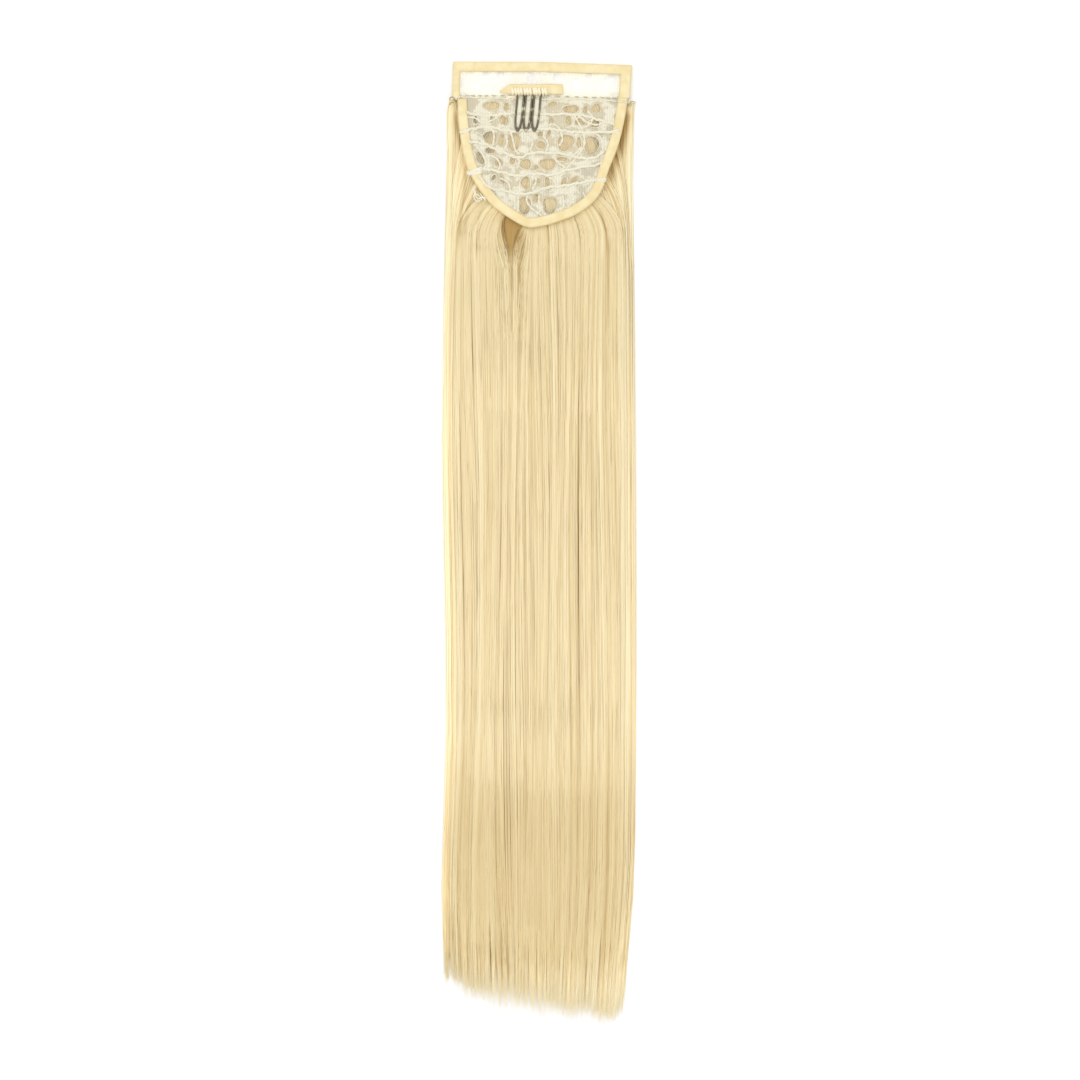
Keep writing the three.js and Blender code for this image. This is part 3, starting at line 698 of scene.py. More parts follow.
def lace_finish():
    """Sheer lace: fine threads that slant both ways or run upright, closed by denser motifs, with the
    mesh between them partly see-through. It thins out where the tone falls, towards an opening's rim. Under
    the comb it is denser and whiter, painted light that lifts the wires' shade; over the flap it is paler and
    gives off a faint emission, painted light for light scattered in the sheer net."""
    own = Finish("sheer_lace")
    place = own.place()
    x, y, _ = own.axes(place)
    wobble = (own.noise(place, (300, 300, 300), 1) - 0.5) * 0.5
    pitch = math.tau / THREAD_PITCH
    one = ((x + y * THREAD_SLOPE) * pitch + wobble).math("SINE")
    two = ((x - y * THREAD_SLOPE) * pitch + wobble).math("SINE")
    upright = (x * (math.tau / NET_PITCH) + wobble).math("SINE")
    threads = one.math("MAXIMUM", two).math("MAXIMUM", upright).between(0.35, 0.85)
    motif = own.noise(place, (130, 150, 100), 3).between(0.42, 0.58)
    solid = own.noise(place, (500, 500, 500))
    flap = y.between(SEAM_Y, SEAM_Y + 3 * MM)
    inner = own.kept("tone")
    across = (x - (HAIR_X + COMB_X - 1 * MM)).math("ABSOLUTE")
    # Painted light under the comb: denser, whiter lace that lifts the shade of the wires
    painted_comb_light = (1 - across.between(6 * MM, 9 * MM)) * y.between(SEAM_Y - 21 * MM, SEAM_Y - 16 * MM)
    plain = (threads * 0.2 + motif * 0.3 + 0.4) * (inner * 0.6 + 0.4)
    cover = (plain * (1 - flap * 0.62) + painted_comb_light * (1 - flap) * 0.5).clamped()
    colour = own.mix(motif * 0.7 + threads * 0.3, linear(229, 221, 195), linear(246, 241, 220))
    whiter = own.mix(painted_comb_light * 0.8, colour, linear(255, 251, 230))
    # Painted light over the flap: paler lace, and a faint emission in the surface below, for light scattered
    # in the sheer net
    pale = own.mix(flap, whiter, linear(253, 250, 238))
    return own.surface(
        base_color=pale,
        roughness=0.75,
        alpha=cover,
        emission_color=own.mix(flap, (0, 0, 0), linear(248, 243, 208)),
        emission_strength=0.18,
        normal=own.bump(threads * 0.6 + solid * 0.4, 0.5, 0.0002),
    )


def thread_finish(name="white_thread", light=(255, 252, 240), dark=(232, 226, 200), twist=0.9):
    """Sewing thread with a slanting twist."""
    own = Finish(name)
    x, y, _ = own.axes(own.place())
    ply = ((x + y * 0.7) * (math.tau / (twist * MM))).math("SINE") * 0.5 + 0.5
    fuzz = own.noise(own.place(), (900, 900, 900))
    colour = own.mix(ply * 0.6 + fuzz * 0.4, linear(*dark), linear(*light))
    return own.surface(base_color=colour, roughness=0.8, normal=own.bump(ply + fuzz, 0.3, 0.0001))


def wire_finish():
    """Dull bronzed steel with drawn lines and rubbed spots."""
    own = Finish("comb_wire")
    place = own.place()
    drawn = own.noise(place, (2500, 120, 2500))
    rubbed = own.noise(place, (260, 260, 260), 3).between(0.5, 0.7)
    colour = own.mix(rubbed, linear(112, 105, 84), linear(206, 198, 172))
    return own.surface(
        base_color=colour,
        metallic=0.8,
        roughness=0.28 + drawn * 0.2,
        normal=own.bump(drawn, 0.15, 0.0001),
    )


# Hair

WARP_TERMS = [(rng.uniform(0.3, 2.6), rng.uniform(0.3, 2.2), rng.uniform(0, math.tau)) for _ in range(9)]
RIDGE_TERMS = [(rng.uniform(14, 75), rng.uniform(0.1, 0.9), rng.uniform(0, math.tau)) for _ in range(22)]


def warp(share, depth):
    """Slow sideways drift of the hair, a sum of sines of the place across and the depth."""
    along = depth / HAIR_LENGTH
    total = sum(np.sin(math.tau * (f * share + g * along) + p) for f, g, p in WARP_TERMS)
    return 0.42 * MM * total * ease(depth / (110 * MM))


def ridge(share, depth, seed):
    """Fine ridges that follow the hair, a sum of sines across, from about -1 to 1."""
    along = depth / HAIR_LENGTH
    total = sum(np.sin(f * share + math.tau * g * along + p + seed) for f, g, p in RIDGE_TERMS)
    return total / 4.7


def head_depth(weft, share):
    """Depth below the seam of a weft's head."""
    ends, dip, slant = WEFT_HEADS[weft]
    return BASE_DEPTH * (ends + dip * (1 - share**2) + slant * share)


def narrowing(weft):
    """How much less than the outermost weft's half width a weft has, as a share."""
    return UPPER_INSET * weft / (WEFTS - 1) / HALF_HAIR


def side_width(side, depth):
    """Half width of the hair on the left side, below 0, or the right side, as a share."""
    return np.where(side < 0, section(2, depth), section(3, depth))


def hair_x(weft, share, depth):
    """x of a place in a weft: the head's span that fans out into the hair's full width."""
    body = share * HALF_HAIR * (side_width(share, depth) - narrowing(weft))
    if weft > 0:
        left, right = inner_span(head_depth(weft, np.abs(share)) + HEAD_BAND)
        head = left + (right - left) * (share + 1) / 2
        left_over = 1 - np.clip((depth - head_depth(weft, share) - HEAD_BAND) / FAN_LENGTHS[weft], 0, 1)
        fanned = 1 - left_over**1.9
        body = head + (body - head) * fanned
    return body + warp(share, depth)


def stack_share(x, depth):
    """Place across the whole stack of wefts, from -1 to 1."""
    return x / (HALF_HAIR * side_width(x, depth))


def hair_floor(weft, x, depth):
    """Underside of a weft's hair."""
    return weft * (curtain(stack_share(x, depth), depth) + CLEARANCE)


def hair_top(weft, x, depth):
    """Upper side of a weft's hair."""
    return hair_floor(weft, x, depth) + curtain(stack_share(x, depth), depth)


def tip_depth(share):
    """The longest tips, slanting up towards the left and cut off at the left corner."""
    slanted = TIP_SLANT * np.clip((1 - share) / 2, 0, 1) ** 1.5
    return HAIR_LENGTH + TIP_EXTRA - slanted - TIP_CORNER * np.clip((-0.62 - share) / 0.38, 0, 1) ** 1.5


def parting_cut(share, depth):
    """How deep the uppermost hair is parted, from 0 to 1, which also sets how much painted shade it gets
    there.
    """
    cut = np.zeros(np.broadcast(share, depth).shape)
    for centre, width, deep in PARTINGS:
        half = width * MM / HALF_HAIR * (1 + 0.5 * np.sin(7 * centre + depth / (60 * MM)))
        fade = 0.55 + 0.45 * np.sin(depth / (95 * MM) + 9 * centre)
        cut = np.maximum(cut, deep * fade * np.exp(-(((share - centre) / half) ** 2)))
    return cut


def hollow(x, depth):
    """How deep in shadow a place lies, from 0 to 1: each hollow fades by a bell curve from its line."""
    shade = np.zeros(np.broadcast(x, depth).shape)
    for points, half, strength in HOLLOWS:
        across, down = np.array(points).T * MM
        middle = np.interp(depth, down, across)
        power = 4 if half > 5 else 2
        bell = np.exp(-(np.abs(x - middle) / (half * MM)) ** power)
        ends = ease((depth - down[0]) / (8 * MM)) * ease((down[-1] + 14 * MM - depth) / (26 * MM))
        shade = np.maximum(shade, strength * bell * ends)
    return shade


strand_finish = hair_finish("blonde_strands", (190, 156, 92), (246, 227, 181), (255, 246, 214))
# The wefts' bodies, seen between the strands, in darker colours: painted shade of the hair deeper in the
# stack
core_finish = hair_finish("blonde_shaded_core", (182, 146, 78), (236, 213, 160), (250, 233, 190))


def risen(weft, x, depth):
    """How far a weft's hair stands up to the lace it is sewn to, until the next weft's hair covers it."""
    left, right = inner_span(depth)
    within = ease((x - left) / (6 * MM)) * ease((right - x) / (6 * MM))
    room = np.maximum(0, underside(-depth) - 0.35 * MM - hair_top(weft, x, depth))
    following = head_depth(min(weft + 1, WEFTS - 1), 0.0) + (0 if weft < WEFTS - 1 else 1)
    return room * within * (1 - ease((depth - following + 5 * MM) / (9 * MM)))


def settle(share, depth):
    """Share of its height that the hair keeps where it lies flatter towards the tips."""
    return 1 - SETTLING * ease((depth - tip_depth(share) + SETTLE_START) / SETTLE_LENGTH)


def thin_glow(share, depth, edge):
    """Painted light, given off as emission: how much light comes through from the pale floor where the hair
    is thin, at the tips and sides, and how much lifts the lace's shade on the hair under it.
    """
    tips = ease((depth - tip_depth(share) + GLOW_START) / GLOW_LENGTH)
    sides = ease((np.abs(share) - GLOW_SIDE) / GLOW_SIDE_WIDTH) * edge * np.where(share < 0, 1, GLOW_RIGHT)
    sides = sides * (0.75 + 0.25 * ease((depth - 90 * MM) / (90 * MM)))
    # Painted light on the hair under the lace, lifting the shade that the lace casts
    painted_light_under_lace = 0.95 * (1 - ease((depth - 66 * MM) / (8 * MM))) * (1 - ease((np.abs(share) - 0.68) / 0.1))
    return np.clip(tips + sides + painted_light_under_lace, 0, 1)


def make_core(weft, rows, columns):
    """The body of one weft: a closed sheet with ridges and partings, whose lower end thins out in teeth."""
    share = np.linspace(-1, 1, columns)[None, :]
    along = np.linspace(0, 1, rows)[:, None]
    start = head_depth(weft, share)
    jagged = BODY_TEETH * ridge(share * 5.3, 0, weft)
    end = tip_depth(share) - BODY_SHORT - BODY_STEP * weft + jagged
    depth = start + (end - start) * along**1.25
    share = share + 0 * depth
    x = hair_x(weft, share * 0.985, depth)
    thin = curtain(stack_share(x, depth), depth)
    floor = hair_floor(weft, x, depth)
    cut = parting_cut(share, depth) if weft == WEFTS - 1 else 0
    dim = hollow(x, depth)
    ridges = 0.12 * MM * ridge(share, depth, weft)
    fade = 1 - ease((along - 0.93) / 0.07) * 0.8
    body = np.maximum(0.18 * MM, (thin * (0.78 - 0.4 * cut - 0.5 * dim) + ridges) * fade)
    flat = settle(share, depth)
    top = placed(x, -depth, (floor + body) * flat + risen(weft, x, depth))
    points, faces = slab(top, placed(x, -depth, floor * flat))
    # Painted shade darkens the tone in partings and hollows, and painted light brightens the bodies under the
    # lace, nearer than 5 to 7 cm to the seam
    tone = 0.5 + 0.12 * ridge(share, depth, weft + 2) - 0.5 * cut - 0.75 * dim
    tone = tone + 0.35 * (1 - ease((depth - 0.05) / 0.02))
    flat_uv = np.stack([share * HALF_HAIR * 10, depth * 10], axis=-1).reshape(-1, 2)
    make_piece(
        f"hair_body_{weft + 1}", points, faces, core_finish, "hair", (f"hair_weft_{weft + 1}",),
        np.tile(flat_uv, (2, 1)), np.tile(np.clip(tone, 0, 1).ravel(), 2),
        np.tile(thin_glow(share, depth, 0).ravel(), 2),
    )


HEAD_STEPS = np.array([0, 3, 6.5, 10, 14, 18, 22, 27, 34, 46]) * MM
BODY_STEPS = np.array([0.1, 0.2, 0.33, 0.46, 0.59, 0.71, 0.81, 0.89, 0.95, 1])


def beside_partings(share, own):
    """Places across, with those inside a parting moved out to its sides."""
    for centre, width, deep in PARTINGS:
        half = 0.9 * width * deep * MM / HALF_HAIR
        away = share - centre
        beside = centre + np.sign(away) * half * own.uniform(1, 2.5, len(share))
        share = np.where(np.abs(away) < half, beside, share)
    return share


def gap_push(share, depth, own):
    """How far the gap pushes strands aside: a bell curve of their distance from its middle, which sets in
    and ends smoothly."""
    aside = share[:, None] * HALF_HAIR * 0.87 - GAP_X
    closed = (own.uniform(*GAP_CLOSED, len(share)) * MM)[:, None]
    apart = ease((depth - GAP_START) / GAP_OPENING) * ease((closed - depth) / GAP_CLOSING)
    return GAP_PUSH * np.sign(aside) * np.exp(-((aside / GAP_REACH) ** 2)) * apart


def make_strands(name, weft, share, widths, early, lift, own):
    """Many thin three-sided strands that follow one weft. Each keeps to its own place across, leaves the
    partings free, gathers a little with its lock towards the tip, and tapers to a point."""
    count = len(share)
    last = weft == WEFTS - 1
    if last:
        share = beside_partings(share, own)
    share = np.clip(share, -1.04, 1.04)
    lock = np.floor((share + 1) / 2 * SUB_LOCKS + 0.35 * np.sin(share * 23 + weft) + 0.37 * weft) + 0.5
    lock_share = (lock - 0.37 * weft) / SUB_LOCKS * 2 - 1
    off_centre = np.abs(share - lock_share) * SUB_LOCKS
    lock_early = 7 * MM * np.abs(np.sin(lock * 12.9898 + weft * 4.1))
    shorter = (1.5 + 2.5 * (1 - share)) * MM * (widths > 0.4 * MM)
    end = tip_depth(share) - lock_early - early - shorter - off_centre * own.uniform(1, 6, count) * MM
    start = head_depth(weft, share) + own.uniform(0, HEAD_BAND, count)
    body = (end - start - HEAD_STEPS[-1])[:, None] * BODY_STEPS + HEAD_STEPS[-1]
    depth = start[:, None] + np.concatenate([np.tile(HEAD_STEPS, (count, 1)), body], axis=1)
    slope = own.normal(0, 1, count)[:, None] * STRAND_DRIFT
    wave = own.uniform(0, math.tau, count)[:, None]
    below = depth - start[:, None]
    pinch = LOCK_PINCH * ease((depth - (end - PINCH_LENGTH)[:, None]) / PINCH_LENGTH)
    moved = share[:, None] + (lock_share - share)[:, None] * pinch
    x = hair_x(weft, moved, depth)
    x = x + slope * np.sin(depth / (140 * MM) + wave) * ease(below / (70 * MM)) + slope * 1.6 * pinch
    if last:
        x = x + gap_push(share, depth, own)
    thin = curtain(stack_share(x, depth), depth)
    height = own.uniform(*lift, count)[:, None]
    cut = parting_cut(moved, depth) if last else 0
    dim = hollow(x, depth)
    ridges = 0.13 * MM * ridge(moved, depth, weft) * ease(below / (20 * MM))
    z = hair_floor(weft, x, depth) + thin * (height - 0.3 * cut - 0.4 * dim) + ridges
    z = z * settle(share[:, None], depth) + risen(weft, x, depth) + 0.1 * MM
    paths = placed(x, -depth, np.maximum(z, 0.25 * MM))
    steps = below / (end - start)[:, None]
    taper = np.minimum(1, 0.6 + below / (20 * MM)) * (1 - 0.88 * ease((steps - 0.9) / 0.1))
    half_width = (widths / 2)[:, None] * taper
    points, faces = sweep(paths, half_width, half_width * 0.5, 3, math.pi / 2)
    clump = ridge(moved, depth, weft + 1) * 0.07 + ridge(moved * 3.1, depth, weft + 5) * 0.05
    edge = 0.22 * ease((np.abs(share) - 0.8) / 0.2)[:, None] * (not last)
    tips = ease((depth - end[:, None] + 36 * MM) / (34 * MM))
    # Painted shade darkens the tone in partings and hollows, and painted light brightens it towards the tips
    tone = 0.5 + clump + edge + own.normal(0, 0.07, count)[:, None] - 0.55 * cut - 0.6 * dim + 0.32 * tips
    across = np.broadcast_to((share * HALF_HAIR * 10 + own.uniform(-0.4, 0.4, count))[:, None], depth.shape)
    uv = np.stack([across, depth * 10], axis=-1)
    through = thin_glow(share[:, None], depth, float(not last))
    make_piece(
        name, points, faces, strand_finish, "hair",
        uv=np.repeat(uv.reshape(-1, 2), 3, axis=0),
        tone=np.repeat(np.clip(tone, 0, 1).ravel(), 3),
        glow=np.repeat(through.ravel(), 3),
    )


def sides_and_tips(own, count, edge):
    """Places across for strands that matter most at the sides."""
    sided = own.random(count) < 0.5
    side = np.sign(own.random(count) - 0.5) * (1 - own.random(count) ** 1.3 * edge)
    return np.where(sided, side, own.uniform(-1, 1, count))


def make_hair():
    """The bodies of all wefts, then their strands, and the uppermost weft's two lots of strands."""
    for weft in range(WEFTS):
        dense = weft in (0, WEFTS - 1)
        make_core(weft, 100 if dense else 34, 130 if weft == WEFTS - 1 else 70)
    for weft in range(WEFTS - 1):
        own = np.random.default_rng(100 + weft)
        count = OUTER_STRANDS if weft == 0 else MIDDLE_STRANDS
        share = sides_and_tips(own, count, 0.3) * own.choice([0.975, 1], count, p=[0.75, 0.25])
        share = share * np.where(own.random(count) < 0.05, own.uniform(1, 1.04, count), 1)
        widths = own.uniform(0.4, 0.8, count) * MM
        early = own.gamma(2.5, 3.4, count) * MM
        make_strands(f"hair_lock_{weft + 1}", weft, share, widths, early, (0.5, 1.05), own)
    for name, count, wide, lift, early in UPPER_STRANDS:
        own = np.random.default_rng(count)
        share = own.uniform(-1, 1, count)
        widths = own.uniform(*wide, count) * MM
        lengths = own.gamma(2.5, early / 2.5, count) * MM
        make_strands(name, WEFTS - 1, share, widths, lengths, lift, own)


# Lace, cords and stitches

def lace_at(across, down, lift=0.0):
    """Points on the lace from shares of the base's width and depth."""
    y = -down * BASE_DEPTH
    return placed(across * BASE_WIDTH, y, net_height(y) + lift, BASE_X)


def opening_radius(opening, angle, grow=0.0):
    """Radius of an opening towards an angle: an ellipse, a little dented by a wave of three lobes."""
    _, _, wide, tall, _ = opening
    a = wide * BASE_WIDTH / 2 + grow
    b = tall * BASE_DEPTH / 2 + grow
    ellipse = a * b / np.hypot(b * np.cos(angle), a * np.sin(angle))
    return ellipse * (1 + 0.07 * np.sin(3 * angle + 40 * wide + 25 * tall))


def from_opening(opening, x, y):
    """Distance across and up from an opening's middle, whose axis leans."""
    across, down, _, _, lean = opening
    dy = y + down * BASE_DEPTH
    return x - across * BASE_WIDTH - lean * dy, dy


def beyond_rims(x, y):
    """Distance from the nearest opening's rim, less than 0 inside the opening."""
    nearest = np.full(x.shape, np.inf)
    for opening in LACE_OPENINGS:
        dx, dy = from_opening(opening, x, y)
        nearest = np.minimum(nearest, np.hypot(dx, dy) - opening_radius(opening, np.arctan2(dy, dx)))
    return nearest


def make_lace():
    """The sheet of lace: a fine grid inside the outline, from which the openings are left out. Points near
    an opening's rim are moved onto it, so that the rim is smooth."""
    xs = np.arange(-FLAP_WIDTH / 2, FLAP_WIDTH / 2, LACE_CELL)
    ys = np.arange(FLAP_HEIGHT + FLAP_STRETCH, -BASE_DEPTH - BASE_TAPE, -LACE_CELL)
    x, y = np.meshgrid(xs, ys)
    for opening in LACE_OPENINGS:
        dx, dy = from_opening(opening, x, y)
        angle = np.arctan2(dy, dx)
        rim = opening_radius(opening, angle)
        near = np.abs(np.hypot(dx, dy) - rim) < RIM_SNAP
        x = np.where(near, x - dx + np.cos(angle) * rim, x)
        y = np.where(near, y - dy + np.sin(angle) * rim, y)
    quads = grid_faces(*x.shape)
    mx, my = x.ravel()[quads].mean(1), y.ravel()[quads].mean(1)
    quads = quads[inside_outline(mx, my) & (beyond_rims(mx, my) > 0)]
    used, flat = np.unique(quads, return_inverse=True)
    quads = flat.reshape(-1, 4)
    x, y = x.ravel()[used], y.ravel()[used]
    inner = ease(beyond_rims(x, y) / RIM_FADE)
    top = placed(x, y, net_height(y) + LACE_HALF, BASE_X)
    low = top - (0, 0, 2 * LACE_HALF)
    size = len(top)
    edges = np.concatenate([quads[:, [a, (a + 1) % 4]] for a in range(4)])
    key = edges.min(1) * size + edges.max(1)
    _, first, uses = np.unique(key, return_index=True, return_counts=True)
    rim = edges[first[uses == 1]]
    walls = np.stack([rim[:, 0], rim[:, 0] + size, rim[:, 1] + size, rim[:, 1]], axis=1)
    faces = np.concatenate([quads, quads[:, ::-1] + size, walls])
    points = np.concatenate([top, low])
    piece = make_piece(
        "lace_base", points, [faces], lace_finish(), "lace", ("lace_net",), tone=np.tile(inner, 2),
    )


def make_fine_net():
    """The lace's finest threads, which also cross its openings: slanting lines both ways over the base,
    each cut off where it meets the binding."""
    down = np.linspace(-BASE_DEPTH, -0.3 * MM, 140)
    starts = np.arange(-BASE_WIDTH, BASE_WIDTH, NET_PITCH)
    paths = []
    for slope in (-THREAD_SLOPE, THREAD_SLOPE):
        x = starts[:, None] + slope * down
        y = 0 * x + down
        inside = inside_outline(x.ravel(), y.ravel()).reshape(x.shape)
        lines = inside.sum(1) > 6
        first = down[np.argmax(inside, axis=1)][lines, None]
        last = down[len(down) - 1 - np.argmax(inside[:, ::-1], axis=1)][lines, None]
        y = first + (last - first) * np.linspace(0, 1, 16)
        x = starts[lines, None] + slope * y + 0.2 * MM * np.sin(y / (6 * MM) + starts[lines, None] / (5 * MM))
        paths.append(placed(x, y, net_height(y) - 0.3 * MM, BASE_X))
    points, faces = sweep(np.concatenate(paths), NET_THREAD, NET_THREAD, 3)
    finish = thread_finish("net_thread", (246, 240, 220), (230, 221, 194))
    make_piece("fine_net", points, faces, finish, "lace")


def inside_outline(x, y):
    """Whether points lie inside the binding's fold, by counting how often the outline is crossed."""
    base = base_path(120)
    border = np.concatenate([
        inward(flap_path(), np.full(4, LEAF + CLEARANCE)),
        inward(base, np.full(len(base) - 1, LEAF + CLEARANCE))[1:-1],
    ])
    after = np.roll(border, -1, axis=0)
    inside = np.zeros(len(x), bool)
    for (x0, y0), (x1, y1) in zip(border, after):
        if y0 != y1:
            crosses = (y0 > y) != (y1 > y)
            inside ^= crosses & (x < (x1 - x0) * (y - y0) / (y1 - y0) + x0)
    return inside


def over_lace(points, count, lift):
    """A smooth line through points in millimetres from the middle of the hair and below the seam."""
    x, down = smooth_path(points, count).T * MM
    return x, -down, net_height(-down) + lift * MM


def make_lace_cords():
    """Raised cords round each opening of the base and vines that wander between them."""
    parts = []
    angle = np.linspace(0, math.tau, 24, endpoint=False)
    for opening in LACE_OPENINGS[LACE_OPENINGS[:, 1] > 0]:
        across, down, _, _, lean = opening
        radius = opening_radius(opening, angle, 0.35 * MM)
        dy = np.sin(angle) * radius
        dx = np.cos(angle) * radius + lean * dy
        ring = lace_at(across + dx / BASE_WIDTH, down - dy / BASE_DEPTH, 0.25 * MM)
        size = 0.24 + 0.1 * math.sin(60 * across + 40 * down)
        thick = size * MM * (1 + 0.45 * np.sin(2 * angle + 50 * across))
        parts.append(sweep(ring, thick, thick * 0.7, 5, closed=True))
    for vine in VINES:
        count = 12 * len(vine)
        thick = (0.68 + 0.2 * np.sin(np.arange(count) * 0.7)) * MM
        parts.append(sweep(placed(*over_lace(vine, count, 0.2)), thick, thick * 0.4, 6))
    finish = thread_finish("cord_thread", (243, 237, 217), (224, 216, 189))
    make_piece("lace_cords", *joined(parts), finish, "lace")


def binding_top(y):
    """Height of the top of the folded ribbon."""
    return underside(y) + TAPE_TOP


def over_binding(x, y):
    """Height for a thread that climbs the ribbon where it crosses it."""
    left, right = inner_span(-np.minimum(y, 0))
    outside = np.maximum(left - x, x - right)
    climb = ease((outside + 1 * MM) / (2 * MM))
    beyond = ease((outside - BASE_TAPE - 0.5 * MM) / (2 * MM))
    return (binding_top(y) - net_height(y)) * climb * (1 - 0.55 * beyond)


def make_row_stitches():
    """Six rows of thick white thread: three plies twisted round each other, crossed by slanting stitches."""
    parts = []
    steps = np.arange(160)
    for weft, row in enumerate(STITCH_ROWS):
        x, y, z = over_lace(row, len(steps), 0.45)
        y = y + (0.25 * np.sin(steps * 0.5 + weft) + 0.15 * np.sin(steps * 1.3)) * MM
        path = placed(x, y, z + over_binding(x, y))
        strong = 1 + 0.5 * ease((-35 * MM - x) / (8 * MM)) if weft == 4 else 1
        seam_row = np.where(np.abs(x) > 47 * MM, END_PLY, THIN_PLY)
        size = (seam_row if weft == 0 else PLY * strong) * MM
        size = size + 0 * x
        for ply in range(3):
            turn = steps * 0.42 + ply * math.tau / 3 + weft
            round_it = [0 * turn, 1.05 * size * np.sin(turn), 0.5 * size * np.cos(turn)]
            thick = size * (1 + 0.25 * np.sin(steps * 0.31 + 2 * ply))
            parts.append(sweep(path + np.stack(round_it, axis=-1), thick, thick * 0.75, 5))
        at = np.arange(2, len(steps) - 6, 5)
        side = np.where(np.arange(len(at)) % 2 == 0, 0.9, -0.9)[:, None] * (0, MM, 0)
        low = (0, 0, -0.4 * MM)
        bent = [path[at] - side + low, path[at + 1] + (0, 0, 0.5 * MM), path[at + 3] + side + low]
        parts.append(sweep(np.stack(bent, axis=1), CROSS_STITCH * MM, CROSS_STITCH * MM, 5))
    finish = thread_finish("weft_thread", (248, 244, 226), (230, 223, 197))
    make_piece("weft_stitches", *joined(parts), finish, "lace")


# Fat stitches that hold a row's end over the ribbon: millimetres across and below the seam of their
# middle, length, slope and thickness
BINDING_STITCHES = [
    (-46.8, 21, 7, -1.1, 1.2),
    (46.8, 21.7, 6, 0.2, 1.0),
    (-40.3, 47, 8, -1.2, 2.2),
    (38.5, 52.3, 6, 0, 1.3),
]


def make_binding_stitches():
    """Four strands side by side over the ribbon for each stitch, bowed up and thinner towards both ends."""
    parts = []
    t = np.linspace(-1, 1, 14)
    for across, down, long, slant, thick in BINDING_STITCHES:
        for strand in range(4):
            aside = (strand - 1.5) * thick * 0.4
            x = (across + t * long / 2) * MM
            y = -(down + slant * t + aside * (1 + 0.3 * t)) * MM
            z = binding_top(y) - 0.35 * MM + (1 - t**4) * 0.45 * MM + 0.1 * MM * (strand % 2)
            radius = thick * 0.28 * MM * (1 - 0.45 * np.abs(t) ** 3)
            parts.append(sweep(placed(x, y, z), radius, radius, 6))
    make_piece("binding_stitches", *joined(parts), thread_finish("binding_thread"), "lace")


# Loose ends of dark thread at the first row's ends and a white scrap by the binding: millimetres across,
# below the seam and above the binding's underside
DARK_ENDS = [
    [(-57, 1, 1.5), (-56.6, -0.5, 2.6), (-55, -0.8, 3.2), (-54, -0.2, 3.4)],
    [(-57, 4, 1.2), (-55.8, 2.6, 2.4), (-54.5, 3, 2.9)],
    [(59, 3, 1.5), (58, 2, 2.8), (56.6, 2.6, 3.2)],
]
# Painted shadow along the seam: where each grey dash starts, in millimetres across
SEAM_DASHES = [-47, -43.5, -39, -35, -30.5, -25, -20, 4, 10, 16, 22, 27.5, 33, 38, 41.5, 45.5, 49]
WHITE_SCRAP = [
    [(-42, 57.5, 3.2), (-40.5, 61, 3.4), (-38, 62.5, 3.3), (-36.5, 65, 3.2)],
    [(-41, 61.5, 3.3), (-39, 64, 3.5), (-36, 63.5, 3.5), (-34, 65.5, 3.3)],
    [(-40, 59, 3.4), (-41.5, 62.5, 3.4), (-40, 65.5, 3.3), (-37.5, 65.5, 3.2)],
    [(-37.5, 61, 3.3), (-36, 63, 3.6), (-33.5, 64, 3.4)],
]


def make_thread_ends(name, threads, radius, finish):
    """Short round threads through their points."""
    parts = []
    for thread in threads:
        x, down, up = smooth_path(thread, 18).T * MM
        parts.append(sweep(placed(x, -down, underside(-down) + up), radius, radius, 6))
    make_piece(name, *joined(parts), finish, "lace")


# Binding

TAPE_LEAF = 0.6 * MM
TAPE_LOW = 0.45 * MM
TAPE_TOP = 3.2 * MM
OUTER_POINTS = 16


def tape_profile():
    """The folded ribbon's section as inward share of its width and height: the upper leaf bulges a little,
    the fold is half round, and both free edges are rounded."""
    thick, low, top = TAPE_LEAF, TAPE_LOW, TAPE_TOP
    across = np.array([1, 0.97, 0.75, 0.5, 0.25, 0.08, 0.015, 0, 0, 0.015, 0.08, 0.25, 0.5, 0.75, 0.97, 1])
    middle = (low + top) / 2
    outer = np.array([
        low + thick * 0.5, low, low, low, low, low + 0.1 * MM, low + 0.45 * MM, middle - 0.4 * MM,
        middle + 0.4 * MM, top - 0.5 * MM, top - 0.12 * MM, top, top + 0.05 * MM, top, top - 0.1 * MM,
        top - thick * 0.5,
    ])
    inner_across = np.array([0.97, 0.75, 0.45, 0.2, 0.12, 0.12, 0.2, 0.45, 0.75, 0.97])
    inner = np.array([top - thick] * 3 + [top - thick * 1.1, middle + 0.5 * MM, middle - 0.5 * MM]
                     + [low + thick * 1.1] + [low + thick] * 3)
    return np.concatenate([across, inner_across]), np.concatenate([outer, inner])


